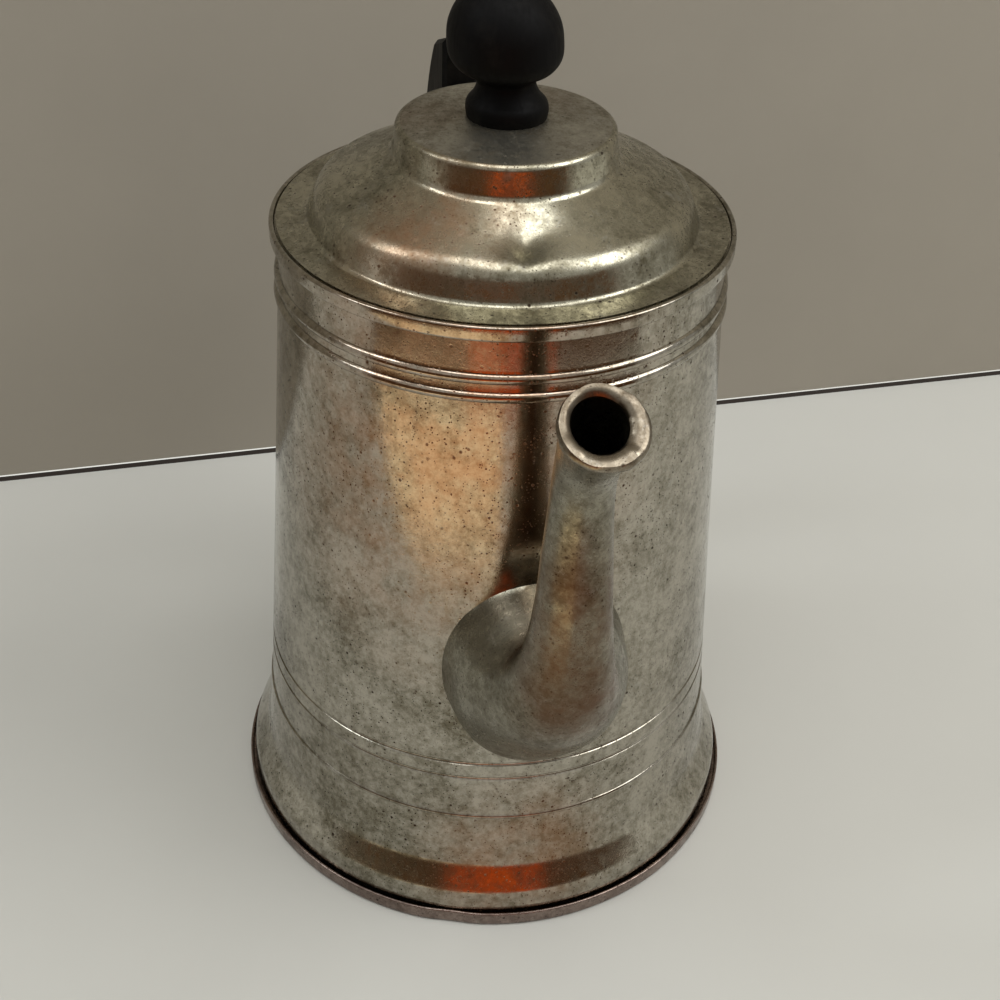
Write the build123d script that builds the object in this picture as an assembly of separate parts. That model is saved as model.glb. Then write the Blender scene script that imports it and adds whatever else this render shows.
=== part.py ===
from build123d import *
from math import atan2, cos, degrees, pi, radians, sin, sqrt
import os

# Antique percolator coffee pot: nickel-plated copper sheet, ebonised wood knob and handle.
# Millimetres. The origin is the centre of the foot on the table, +Z is up, the spout points along +X,
# and the handle and the lid's hinge are on the -X side.

# Sheet metal and fits
SHEET = 1.0
SEAT_GAP = 0.05
RUNNING_GAP = 0.06
LOOSE_GAP = 0.5

# Foot
FOOT_RADIUS = 76.0
FOOT_BAND_HEIGHT = 4.6
FOOT_BAND_WALL = 0.9
FOOT_LEDGE_WIDTH = 5.6
FOOT_LEDGE_HEIGHT = 2.4
FOOT_SEAM_GAP = 0.5
BASE_PLATE_LIFT = 1.0
BASE_PLATE_GAP = 0.65

# Body wall: how far its outside stands in from the foot's edge, and the heights where that is so
FLARE_LOW_INSET = 6.4
FLARE_LOW_Z = 21.0
FLARE_CREASE_INSET = 9.0
FLARE_CREASE_Z = 36.0
WALL_FOOT_INSET = 10.2
WALL_FOOT_Z = 54.0
WALL_TAPER = 8.5
FLARE_BEND = 40.0
RIM_Z = 188.3

# Beads and grooves round the wall, as drops below the rim or heights above the foot
BEAD_RADIUS = 1.5
BEAD_SINK = 0.45
UPPER_BEAD_DROPS = (14.5, 19.3)
FLARE_BEAD_RADIUS = 0.7
GROOVE_RADIUS = 0.7
GROOVE_SINK = 0.25
GROOVE_HEIGHTS = (50.2, 55.4)

# Wired rim round the mouth
RIM_STAND = 2.5
RIM_BAND_WIDTH = 1.4
RIM_BAND_HEIGHT = 4.0
RIM_ROUND = 0.6
RIM_LEDGE_WIDTH = 3.0
RIM_LEDGE_DROP = 0.9
RIM_LEDGE_THICKNESS = 1.1

# Lid, its steps inwards from the edge and its heights above the flange's top
LID_SHEET = 0.9
LID_EDGE_GAP = 0.5
LID_FLANGE_WIDTH = 7.7
LID_COVE_STEP = 2.9
LID_SHOULDER_RISE = 8.2
LID_NECK_STEP = 1.1
LID_NECK_RISE = 16.4
DRUM_RADIUS = 27.5
DRUM_RISE = 24.5
DRUM_CROWN = 1.7
KNOB_SEAT_RADIUS = 11.2
LID_COVE_BEND = 1.6
LID_SHOULDER_BEND = 7.0
LID_NECK_BEND = 2.4
DRUM_EDGE_BEND = 1.8
LID_CROWN_BEND = 6.0
SKIRT_DEPTH = 6.4
SKIRT_SHEET = 0.8

# Knob, radii and heights above its seat
KNOB_FOOT_RADIUS = 10.3
KNOB_NECK_RADIUS = 7.3
KNOB_NECK_RISE = 9.0
KNOB_BALL_RADIUS = 14.1
KNOB_BALL_RISE = 19.0
KNOB_HEIGHT = 33.2
SCREW_RADIUS = 2.0
SCREW_DEPTH = 15.0
SCREW_HEAD_RADIUS = 4.0
SCREW_HEAD_HEIGHT = 2.2
SCREW_SLOT_WIDTH = 0.9
SCREW_SLOT_DEPTH = 0.8
WASHER_RADIUS = 6.5
WASHER_THICKNESS = 0.8

# Spout, from the wall outwards: each section runs from a top point to a bottom point, as
# (distance out from the wall's foot, height) pairs, with its half width across the spout
SPOUT_WALL = 1.1
SPOUT_SECTIONS = (
    ((-9.8, 116.5), (-9.8, 57.5), 25.0),
    ((2.2, 114.5), (3.2, 60.5), 23.2),
    ((10.2, 113.0), (11.7, 69.0), 20.2),
    ((15.0, 114.0), (20.7, 79.0), 17.2),
    ((17.2, 118.0), (29.2, 91.5), 14.2),
    ((18.0, 125.0), (34.8, 109.0), 11.3),
    ((18.6, 136.0), (35.6, 131.5), 9.2),
    ((19.2, 151.0), (34.6, 149.0), 8.1),
    ((20.4, 168.0), (34.4, 166.0), 7.1),
    ((23.6, 181.5), (37.8, 175.5), 7.3),
)
MOUTH_TOP = (29.8, 194.4)
MOUTH_BOTTOM = (45.9, 185.4)
MOUTH_HALF_WIDTH = 8.7
LIP_THICKNESS = 1.8
LIP_OVERHANG = 0.7
LIP_DEPTH = 2.5
SPOUT_HOLE_RADIUS = 1.6
SPOUT_HOLE_PITCH = 6.0
SPOUT_HOLE_HEIGHT = 86.0
SPOUT_HOLE_FIELD = 14.0

# Hinge of the lid
HINGE_OFFSET = 3.2
HINGE_RISE = 1.9
KNUCKLE_RADIUS = 2.2
HINGE_PIN_RADIUS = 1.1
PIN_HEAD_RADIUS = 1.9
PIN_HEAD_LENGTH = 1.0
HINGE_WIDTH = 20.0
LID_KNUCKLE_WIDTH = 9.0
KNUCKLE_SIDE_GAP = 0.2
LEAF_THICKNESS = 1.2
BODY_LEAF_DROP = 3.6
LID_LEAF_WIDTH = 13.0
LID_LEAF_REACH = 0.6
HINGE_RIVET_SPACING = 7.0
HINGE_RIVET_INSET = 1.6
RIVET_RADIUS = 1.1
RIVET_HEAD_RADIUS = 1.9
RIVET_HEAD_HEIGHT = 0.9

# Handle, a board cut to shape and set on two metal arms. Its corners are (distance out from the board's
# inner face, height) pairs, and that face stands off from the rim.
HANDLE_STANDOFF = 10.2
HANDLE_WIDTH = 12.4
HANDLE_EDGE = 1.4
HANDLE_NEAR_TOP = (0.0, 209.6)
HANDLE_FAR_TOP = (17.0, 203.0)
HANDLE_OUTSIDE = ((28.0, 188.0), (38.0, 163.0), (43.6, 132.0), (42.5, 102.0), (33.5, 76.0))
HANDLE_TAIL = ((25.0, 61.0), (16.5, 55.0), (8.6, 61.0))
HANDLE_INSIDE = ((12.5, 79.0), (20.0, 96.0), (23.6, 117.0), (20.5, 138.0), (11.5, 157.0), (2.4, 168.0))
HANDLE_NOSE_HEIGHT = 6.0
ARM_HEIGHTS = (176.5, 69.5)
ARM_REACHES = (16.0, 22.0)
ARM_WIDTH = 8.0
ARM_THICKNESS = 6.0
PAD_WIDTH = 30.0
PAD_HEIGHT = 14.0
PAD_THICKNESS = 1.8
PAD_RIVET_SPACING = 20.0
HANDLE_PIN_RADIUS = 1.6
HANDLE_PIN_INSET = 6.0

# Pump that stands inside: a bell on the base plate and a long tube
BELL_RADIUS = 27.0
BELL_SKIRT_HEIGHT = 4.0
BELL_NECK_RADIUS = 6.0
BELL_HEIGHT = 24.0
BELL_COLLAR_HEIGHT = 5.0
BELL_NOTCHES = 4
BELL_NOTCH_RADIUS = 2.4
TUBE_RADIUS = 3.4
TUBE_BORE_RADIUS = 2.6
TUBE_TOP_Z = 187.0
STOP_Z = 116.0
STOP_HEIGHT = 4.0
STOP_RADIUS = 7.0

# Coffee basket that slides on the tube, and its spreader cover
BASKET_RADIUS = 42.0
BASKET_HEIGHT = 42.0
BASKET_FLOOR_BEND = 4.0
BASKET_RIM_RADIUS = 1.4
SLEEVE_WALL = 0.9
SLEEVE_FLANGE_RADIUS = 9.0
BASKET_HOLE_RADIUS = 1.0
BASKET_HOLE_START = 14.0
BASKET_HOLE_STEP = 7.0
BASKET_HOLE_PITCH = 8.8
SPREADER_RIM_DEPTH = 4.0
SPREADER_DOME = 3.0
SPREADER_HOLE_START = 13.0

# Heights and radii that follow from the sizes above
FLARE_LOW_RADIUS = FOOT_RADIUS - FLARE_LOW_INSET
FLARE_CREASE_RADIUS = FOOT_RADIUS - FLARE_CREASE_INSET
WALL_FOOT_RADIUS = FOOT_RADIUS - WALL_FOOT_INSET
WALL_TOP_RADIUS = WALL_FOOT_RADIUS - WALL_TAPER
RIM_RADIUS = WALL_TOP_RADIUS + RIM_STAND
LEDGE_Z = RIM_Z - RIM_LEDGE_DROP
WALL_TOP_Z = LEDGE_Z - RIM_LEDGE_THICKNESS
BAND_INSIDE = RIM_RADIUS - RIM_BAND_WIDTH
RIM_LEDGE_RADIUS = BAND_INSIDE - RIM_LEDGE_WIDTH
LID_EDGE_RADIUS = BAND_INSIDE - LID_EDGE_GAP
LID_COVE_RADIUS = LID_EDGE_RADIUS - LID_FLANGE_WIDTH
LID_SHOULDER_RADIUS = LID_COVE_RADIUS - LID_COVE_STEP
LID_NECK_RADIUS = DRUM_RADIUS + LID_NECK_STEP
FLANGE_TOP = LEDGE_Z + SEAT_GAP + LID_SHEET
KNOB_SEAT_Z = FLANGE_TOP + DRUM_RISE + DRUM_CROWN
FLOOR_Z = FOOT_LEDGE_HEIGHT + BASE_PLATE_LIFT + SHEET
HINGE_X = -(RIM_RADIUS + HINGE_OFFSET)
HINGE_Z = RIM_Z + HINGE_RISE
HANDLE_FACE = RIM_RADIUS + HANDLE_STANDOFF
SHELL_FOOT_RADIUS = FOOT_RADIUS - FOOT_BAND_WALL - FOOT_SEAM_GAP
BASKET_FLOOR_Z = STOP_Z + STOP_HEIGHT
BASKET_TOP_Z = BASKET_FLOOR_Z + BASKET_HEIGHT
SLEEVE_BORE = TUBE_RADIUS + RUNNING_GAP
SLEEVE_RADIUS = SLEEVE_BORE + SLEEVE_WALL


def spun(wire):
    """A solid turned round the pot's axis from a closed outline in the XZ plane."""
    return revolve(make_face(wire), Axis.Z)


def outline(*corners):
    """A closed outline of straight sides, from (radius, height) corners."""
    return Polyline(*[(r, 0, z) for r, z in corners], close=True)


def ring(inner, outer, low, high):
    """A plain ring or washer."""
    return spun(outline((inner, low), (outer, low), (outer, high), (inner, high)))


def circles(shape, radius):
    """The shape's round edges of one radius, lowest first."""
    rounds = shape.edges().filter_by(GeomType.CIRCLE)
    return rounds.filter_by(lambda e: abs(e.radius - radius) < 1e-4).sort_by(Axis.Z)


def disc(radius, low, high):
    return Pos(0, 0, low) * Cylinder(radius, high - low, align=(Align.CENTER, Align.CENTER, Align.MIN))


def bent_line(corners, bends):
    """A line through (radius, height) corners, each inner corner rounded to its own bend."""
    return FilletPolyline(*[(r, 0, z) for r, z in corners], radius=list(bends))


def wall_corners(inset):
    """The body wall's line, moved in from the outside by inset."""
    return (
        (SHELL_FOOT_RADIUS - inset, FOOT_LEDGE_HEIGHT),
        (FLARE_LOW_RADIUS - inset, FLARE_LOW_Z),
        (FLARE_CREASE_RADIUS - inset, FLARE_CREASE_Z),
        (WALL_FOOT_RADIUS - inset, WALL_FOOT_Z),
        (WALL_TOP_RADIUS - inset, WALL_TOP_Z),
    )


def body_solid(inset):
    """The body as a full solid, with its outside moved in by inset."""
    corners = wall_corners(inset)
    side = bent_line(corners, (FLARE_BEND, FLARE_BEND, FLARE_BEND))
    low, high = corners[0], corners[-1]
    rest = Polyline((high[0], 0, high[1]), (0, 0, high[1]), (0, 0, low[1]), (low[0], 0, low[1]))
    return revolve(make_face(side + rest), Axis.Z)


def wall_radius(z):
    """The straight wall's outside radius at a height above the flare."""
    share = (z - WALL_FOOT_Z) / (WALL_TOP_Z - WALL_FOOT_Z)
    return WALL_FOOT_RADIUS + share * (WALL_TOP_RADIUS - WALL_FOOT_RADIUS)


def hoop(radius, z, section):
    return Pos(0, 0, z) * Torus(radius, section)


def cross_pin(radius, length, x, z):
    """A cylinder along Y, centred on the pot's middle plane."""
    return Pos(x, 0, z) * Rot(90, 0, 0) * Cylinder(radius, length)


def radial_rod(radius, x0, x1, y, z):
    """A cylinder along X from x0 to x1."""
    return Pos((x0 + x1) / 2, y, z) * Rot(0, 90, 0) * Cylinder(radius, abs(x1 - x0))


def dressed_body():
    """The outside of the body with its beads raised and its grooves sunk."""
    body = body_solid(0)
    for drop in UPPER_BEAD_DROPS:
        z = RIM_Z - drop
        body += hoop(wall_radius(z) - BEAD_SINK, z, BEAD_RADIUS)
    body += hoop(FLARE_CREASE_RADIUS - FLARE_BEAD_RADIUS / 2, FLARE_CREASE_Z, FLARE_BEAD_RADIUS)
    for z in GROOVE_HEIGHTS:
        body -= hoop(wall_radius(z) + GROOVE_SINK, z, GROOVE_RADIUS)
    return body


def spout_hole_places():
    """The strainer holes behind the spout: (y, z) on a triangular grid inside a round field."""
    places = []
    rows = int(SPOUT_HOLE_FIELD // (SPOUT_HOLE_PITCH * sin(pi / 3)))
    columns = int(SPOUT_HOLE_FIELD // SPOUT_HOLE_PITCH) + 1
    for row in range(-rows, rows + 1):
        z = row * SPOUT_HOLE_PITCH * sin(pi / 3)
        for column in range(-columns, columns + 1):
            y = (column + (row % 2) / 2) * SPOUT_HOLE_PITCH
            if sqrt(y * y + z * z) <= SPOUT_HOLE_FIELD:
                places.append((y, SPOUT_HOLE_HEIGHT + z))
    return places


def pad_rivet_places():
    return [(y, z) for z in ARM_HEIGHTS for y in (-PAD_RIVET_SPACING / 2, PAD_RIVET_SPACING / 2)]


def make_body_shell(outside):
    shell = outside - body_solid(SHEET)
    for y, z in spout_hole_places():
        shell -= radial_rod(SPOUT_HOLE_RADIUS, WALL_TOP_RADIUS / 2, FOOT_RADIUS, y, z)
    for y, z in pad_rivet_places():
        shell -= radial_rod(RIVET_RADIUS + SEAT_GAP, -WALL_TOP_RADIUS / 2, -FOOT_RADIUS, y, z)
    return shell


def make_foot_band():
    lip = FOOT_RADIUS - FOOT_BAND_WALL
    section = outline(
        (FOOT_RADIUS - FOOT_LEDGE_WIDTH, 0),
        (FOOT_RADIUS, 0),
        (FOOT_RADIUS, FOOT_BAND_HEIGHT),
        (lip, FOOT_BAND_HEIGHT),
        (lip, FOOT_LEDGE_HEIGHT),
        (FOOT_RADIUS - FOOT_LEDGE_WIDTH, FOOT_LEDGE_HEIGHT),
    )
    band = spun(section)
    return fillet(circles(band, FOOT_RADIUS), FOOT_BAND_WALL * 0.8)


def make_base_plate():
    """A dished disc: its turned-down rim stands on the foot band's ledge."""
    radius = SHELL_FOOT_RADIUS - SHEET - BASE_PLATE_GAP
    plate = disc(radius, FLOOR_Z - SHEET, FLOOR_Z)
    return plate + ring(radius - SHEET, radius, FOOT_LEDGE_HEIGHT, FLOOR_Z - SHEET)


def make_body_rim():
    band_low = RIM_Z - RIM_BAND_HEIGHT
    section = outline(
        (WALL_TOP_RADIUS + SEAT_GAP * 4, band_low),
        (RIM_RADIUS, band_low),
        (RIM_RADIUS, RIM_Z),
        (BAND_INSIDE, RIM_Z),
        (BAND_INSIDE, LEDGE_Z),
        (RIM_LEDGE_RADIUS, LEDGE_Z),
        (RIM_LEDGE_RADIUS, WALL_TOP_Z),
        (WALL_TOP_RADIUS + SEAT_GAP * 4, WALL_TOP_Z),
    )
    rim = spun(section)
    rim = fillet(circles(rim, RIM_RADIUS), RIM_ROUND)
    return fillet(circles(rim, BAND_INSIDE)[-1:], RIM_ROUND * 0.8)


def lid_corners(inset):
    """The lid's top line from its edge to the knob's seat, moved down into the metal by inset."""
    return (
        (LID_EDGE_RADIUS, FLANGE_TOP - inset),
        (LID_COVE_RADIUS - inset, FLANGE_TOP - inset),
        (LID_SHOULDER_RADIUS - inset, FLANGE_TOP + LID_SHOULDER_RISE - inset),
        (LID_NECK_RADIUS - inset, FLANGE_TOP + LID_NECK_RISE - inset),
        (DRUM_RADIUS - inset, FLANGE_TOP + DRUM_RISE - inset),
        (KNOB_SEAT_RADIUS, KNOB_SEAT_Z - inset),
        (0, KNOB_SEAT_Z - inset),
    )


def lid_line(inset):
    bends = (
        LID_COVE_BEND + inset,
        LID_SHOULDER_BEND - inset,
        LID_NECK_BEND + inset,
        DRUM_EDGE_BEND - inset,
        LID_CROWN_BEND,
    )
    return bent_line(lid_corners(inset), bends)


def make_lid_shell():
    top, under = lid_line(0), lid_line(LID_SHEET)
    ends = Line(top @ 1, under @ 1) + Line(top @ 0, under @ 0)
    shell = revolve(make_face(top + under + ends), Axis.Z)
    shell -= disc(SCREW_RADIUS + SEAT_GAP, FLANGE_TOP, KNOB_SEAT_Z + 1)
    for x, y in lid_rivet_places():
        shell -= Pos(x, y, FLANGE_TOP) * Cylinder(RIVET_RADIUS + SEAT_GAP, LID_SHEET * 4)
    return shell


def make_lid_skirt():
    """The collar under the lid that centres it in the mouth."""
    outside = RIM_LEDGE_RADIUS - LOOSE_GAP
    top = FLANGE_TOP - LID_SHEET
    return ring(outside - SKIRT_SHEET, outside, top - SKIRT_DEPTH, top)


def knob_side():
    """The turned outline of the knob from its foot up to its top, as (radius, rise) points."""
    neck = KNOB_NECK_RADIUS
    ball = KNOB_BALL_RADIUS
    upper = KNOB_HEIGHT - KNOB_BALL_RISE
    lower = KNOB_BALL_RISE - KNOB_NECK_RISE
    return (
        (KNOB_FOOT_RADIUS - 0.3, 0),
        (KNOB_FOOT_RADIUS, KNOB_NECK_RISE * 0.22),
        (neck + 0.35 * (KNOB_FOOT_RADIUS - neck), KNOB_NECK_RISE * 0.64),
        (neck, KNOB_NECK_RISE),
        (neck + 0.45 * (ball - neck), KNOB_NECK_RISE + lower * 0.34),
        (ball - 0.17 * (ball - neck), KNOB_NECK_RISE + lower * 0.52),
        (ball, KNOB_BALL_RISE),
        (ball * cos(radians(36)), KNOB_BALL_RISE + upper * sin(radians(36))),
        (ball * cos(radians(66)), KNOB_BALL_RISE + upper * sin(radians(66))),
        (0, KNOB_HEIGHT),
    )


def make_knob():
    points = [(r, 0, KNOB_SEAT_Z + rise) for r, rise in knob_side()]
    side = Spline(*points, tangents=((0.2, 0, 1), (-1, 0, 0)))
    rest = Polyline(points[-1], (0, 0, KNOB_SEAT_Z), points[0])
    knob = revolve(make_face(side + rest), Axis.Z)
    return knob - disc(SCREW_RADIUS + SEAT_GAP, KNOB_SEAT_Z - 1, KNOB_SEAT_Z + SCREW_DEPTH + SEAT_GAP)


def make_knob_screw():
    """A round-headed screw that holds the knob from inside the lid."""
    under = KNOB_SEAT_Z - LID_SHEET - WASHER_THICKNESS
    head = Pos(0, 0, under) * Sphere(SCREW_HEAD_RADIUS)
    head &= disc(SCREW_HEAD_RADIUS, under - SCREW_HEAD_HEIGHT, under)
    slot = Pos(0, 0, under - SCREW_HEAD_HEIGHT + SCREW_SLOT_DEPTH / 2) * Box(
        SCREW_HEAD_RADIUS * 2, SCREW_SLOT_WIDTH, SCREW_SLOT_DEPTH
    )
    return head - slot + disc(SCREW_RADIUS, under, KNOB_SEAT_Z + SCREW_DEPTH)


def make_knob_washer():
    top = KNOB_SEAT_Z - LID_SHEET
    return ring(SCREW_RADIUS + SEAT_GAP, WASHER_RADIUS, top - WASHER_THICKNESS, top)


def section_wire(top, bottom, half_width, inset):
    """An oval of four arcs across the spout, between two (distance from the wall's foot, height) points."""
    across, up = Vector(0, 1, 0), Vector(top[0] - bottom[0], 0, top[1] - bottom[1])
    middle = Vector(WALL_FOOT_RADIUS + (top[0] + bottom[0]) / 2, 0, (top[1] + bottom[1]) / 2)
    wide, high = across * (half_width - inset), up.normalized() * (up.length / 2 - inset)
    arcs = []
    for quarter in range(4):
        angles = [pi / 2 * (quarter + step / 4) for step in range(5)]
        points = [middle + wide * cos(a) + high * sin(a) for a in angles]
        ends = [high * cos(a) - wide * sin(a) for a in (angles[0], angles[-1])]
        arcs.append(Edge.make_spline(points, tangents=ends))
    return Wire(arcs)


def spout_solid(inset):
    wires = [section_wire(*section, inset) for section in SPOUT_SECTIONS]
    wires.append(section_wire(MOUTH_TOP, MOUTH_BOTTOM, MOUTH_HALF_WIDTH, inset))
    return Solid.make_loft(wires)


def make_spout(outside):
    return spout_solid(0) - spout_solid(SPOUT_WALL) - outside


def make_spout_lip():
    """The thick rolled lip soldered round the spout's mouth."""
    outer = make_face(section_wire(MOUTH_TOP, MOUTH_BOTTOM, MOUTH_HALF_WIDTH, -LIP_OVERHANG))
    inner = make_face(section_wire(MOUTH_TOP, MOUTH_BOTTOM, MOUTH_HALF_WIDTH, LIP_DEPTH))
    along = Vector(MOUTH_TOP[1] - MOUTH_BOTTOM[1], 0, MOUTH_BOTTOM[0] - MOUTH_TOP[0])
    return extrude(outer, LIP_THICKNESS, dir=along) - extrude(inner, LIP_THICKNESS, dir=along)


def make_body_leaf():
    """The hinge's fixed leaf: it lies against the rim and carries the outer knuckles."""
    face_x = HINGE_X + KNUCKLE_RADIUS - LEAF_THICKNESS
    low, high = RIM_Z - BODY_LEAF_DROP, HINGE_Z
    depth = RIM_RADIUS
    plate = Pos(face_x + depth / 2, 0, (low + high) / 2) * Box(depth, HINGE_WIDTH, high - low)
    plate -= disc(RIM_RADIUS + SEAT_GAP, RIM_Z - RIM_BAND_HEIGHT - SEAT_GAP, HINGE_Z + KNUCKLE_RADIUS)
    leaf = plate.solids().sort_by(Axis.X)[0]
    leaf += cross_pin(KNUCKLE_RADIUS, HINGE_WIDTH, HINGE_X, HINGE_Z)
    middle = LID_KNUCKLE_WIDTH + 2 * KNUCKLE_SIDE_GAP
    gap_low = RIM_Z - KNUCKLE_RADIUS
    gap_high = HINGE_Z + 2 * KNUCKLE_RADIUS
    leaf -= Pos(HINGE_X, 0, (gap_low + gap_high) / 2) * Box(6 * KNUCKLE_RADIUS, middle, gap_high - gap_low)
    return leaf - cross_pin(HINGE_PIN_RADIUS, HINGE_WIDTH * 2, HINGE_X, HINGE_Z)


def lid_rivet_places():
    x = -(LID_COVE_RADIUS + HINGE_RIVET_INSET)
    return [(x, -HINGE_RIVET_SPACING / 2), (x, HINGE_RIVET_SPACING / 2)]


def make_lid_leaf():
    """The hinge's moving leaf: a strap on the lid's flange with the middle knuckle."""
    near = -(LID_COVE_RADIUS - LID_COVE_BEND / 2 + LID_LEAF_REACH)
    length = near - HINGE_X
    strap = Pos(HINGE_X + length / 2, 0, FLANGE_TOP + LEAF_THICKNESS / 2)
    strap *= Box(length, LID_KNUCKLE_WIDTH, LEAF_THICKNESS)
    wing_length = near + LID_EDGE_RADIUS
    strap += Pos(near - wing_length / 2, 0, FLANGE_TOP + LEAF_THICKNESS / 2) * Box(
        wing_length, LID_LEAF_WIDTH, LEAF_THICKNESS
    )
    strap -= disc(LID_COVE_RADIUS + LID_COVE_BEND / 2, FLANGE_TOP, FLANGE_TOP + 2 * LEAF_THICKNESS)
    leaf = strap + cross_pin(KNUCKLE_RADIUS, LID_KNUCKLE_WIDTH, HINGE_X, HINGE_Z)
    leaf -= cross_pin(HINGE_PIN_RADIUS + RUNNING_GAP, HINGE_WIDTH, HINGE_X, HINGE_Z)
    for x, y in lid_rivet_places():
        leaf -= Pos(x, y, FLANGE_TOP) * Cylinder(RIVET_RADIUS + SEAT_GAP, 4 * LEAF_THICKNESS)
    return leaf


def make_hinge_pin():
    pin = cross_pin(HINGE_PIN_RADIUS, HINGE_WIDTH, HINGE_X, HINGE_Z)
    for side in (-1, 1):
        y = side * (HINGE_WIDTH + PIN_HEAD_LENGTH) / 2
        pin += Pos(0, y, 0) * cross_pin(PIN_HEAD_RADIUS, PIN_HEAD_LENGTH, HINGE_X, HINGE_Z)
    return pin


def rivet(low, high):
    """A rivet along Z with a domed head above high and a flat one below low."""
    head = Sphere(RIVET_HEAD_RADIUS) & disc(RIVET_HEAD_RADIUS, 0, RIVET_HEAD_HEIGHT * 1.2)
    shank = disc(RIVET_RADIUS, low, high)
    foot = disc(RIVET_HEAD_RADIUS, low - RIVET_HEAD_HEIGHT, low)
    return Pos(0, 0, high) * head + shank + foot


def make_lid_leaf_rivets():
    low, high = FLANGE_TOP - LID_SHEET, FLANGE_TOP + LEAF_THICKNESS
    return Compound([Pos(x, y, 0) * rivet(low, high) for x, y in lid_rivet_places()])


def handle_board():
    """The handle's outline in the XZ plane, cut from a board, with its long edges taken off."""
    far_top, near_top = HANDLE_FAR_TOP, HANDLE_NEAR_TOP
    back = [far_top, *HANDLE_OUTSIDE, *HANDLE_TAIL]
    front = [HANDLE_TAIL[-1], *HANDLE_INSIDE]
    foot_of_front = (near_top[0], HANDLE_INSIDE[-1][1] + HANDLE_NOSE_HEIGHT)
    lines = Line(place(near_top), place(far_top))
    lines += Spline(*[place(p) for p in back])
    lines += Spline(*[place(p) for p in front + [foot_of_front]], tangents=((-0.4, 0, 1), (0, 0, 1)))
    lines += Line(place(foot_of_front), place(near_top))
    board = extrude(make_face(lines), HANDLE_WIDTH / 2, both=True)
    long_edges = board.faces().sort_by(Axis.Y)[0].edges() + board.faces().sort_by(Axis.Y)[-1].edges()
    return chamfer(long_edges, HANDLE_EDGE)


def place(point):
    """A (distance behind the board's inner face, height) pair as a point of the middle plane."""
    return (-HANDLE_FACE - point[0], 0, point[1])


def arm_bar(z, reach, gap):
    start = wall_radius(z) - 2 * SHEET
    length = HANDLE_FACE + reach + gap - start
    return Pos(-(start + length / 2), 0, z) * Box(length, ARM_WIDTH + 2 * gap, ARM_THICKNESS + 2 * gap)


def make_handle_grip():
    grip = handle_board()
    for z, reach in zip(ARM_HEIGHTS, ARM_REACHES):
        grip -= arm_bar(z, reach, SEAT_GAP)
        grip -= cross_pin(HANDLE_PIN_RADIUS, HANDLE_WIDTH * 2, HANDLE_PIN_INSET - HANDLE_FACE - reach, z)
    return grip


def make_arm(z, reach, outside):
    """A bracket: a pad shaped to the wall, and a bar that runs into the handle."""
    radius = wall_radius(z) + PAD_THICKNESS
    pad = Pos(-radius, 0, z) * Box(radius, PAD_WIDTH, PAD_HEIGHT)
    pad &= disc(radius, z - PAD_HEIGHT, z + PAD_HEIGHT)
    bracket = pad + arm_bar(z, reach, 0)
    bracket -= outside
    bracket = bracket.solids().sort_by(SortBy.VOLUME)[-1]
    bracket -= cross_pin(HANDLE_PIN_RADIUS, HANDLE_WIDTH, HANDLE_PIN_INSET - HANDLE_FACE - reach, z)
    for y in (-PAD_RIVET_SPACING / 2, PAD_RIVET_SPACING / 2):
        bracket -= radial_rod(RIVET_RADIUS + SEAT_GAP, -WALL_TOP_RADIUS / 2, -FOOT_RADIUS, y, z)
    return bracket


def make_arm_rivets(z):
    """The pair of rivets that hold a bracket's pad to the wall."""
    y = PAD_RIVET_SPACING / 2
    outer = sqrt((wall_radius(z) + PAD_THICKNESS) ** 2 - y * y)
    inner = sqrt((wall_radius(z) - SHEET) ** 2 - y * y)
    turn = Rot(0, -90, 0)
    clear = RIVET_HEAD_HEIGHT / 2
    shapes = [Pos(0, side * y, z) * turn * rivet(inner - clear, outer + clear) for side in (-1, 1)]
    return Compound(shapes)


def make_handle_pin(z, reach):
    return cross_pin(HANDLE_PIN_RADIUS, HANDLE_WIDTH, HANDLE_PIN_INSET - HANDLE_FACE - reach, z)


def make_pump_bell():
    """The flared bell that stands on the floor of the pot, notched to let water in."""
    def line(inset):
        return Polyline(
            (BELL_RADIUS - inset, 0, FLOOR_Z + SEAT_GAP),
            (BELL_RADIUS - inset, 0, FLOOR_Z + BELL_SKIRT_HEIGHT - inset),
            (BELL_NECK_RADIUS - inset, 0, FLOOR_Z + BELL_HEIGHT - inset),
        )

    collar_top = FLOOR_Z + BELL_HEIGHT + BELL_COLLAR_HEIGHT
    outer, inner = line(0), line(SHEET)
    close_low = Line(outer @ 0, inner @ 0)
    bore = TUBE_RADIUS + SEAT_GAP
    inner_top = inner @ 1
    rest = Polyline(
        outer @ 1,
        (BELL_NECK_RADIUS, 0, collar_top),
        (bore, 0, collar_top),
        (bore, 0, inner_top.Z),
        inner_top,
    )
    bell = revolve(make_face(outer + inner + close_low + rest), Axis.Z)
    for i in range(BELL_NOTCHES):
        angle = 45 + i * 360 / BELL_NOTCHES
        notch = Rot(0, 0, angle) * radial_rod(BELL_NOTCH_RADIUS, BELL_RADIUS / 2, BELL_RADIUS * 2, 0, FLOOR_Z)
        bell -= notch
    return bell


def make_pump_tube():
    low = FLOOR_Z + BELL_HEIGHT - SHEET
    return ring(TUBE_BORE_RADIUS, TUBE_RADIUS, low, TUBE_TOP_Z)


def make_basket_stop():
    """The collar on the tube that the basket stands on."""
    return ring(TUBE_RADIUS + SEAT_GAP, STOP_RADIUS, STOP_Z, STOP_Z + STOP_HEIGHT - SEAT_GAP)


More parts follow.
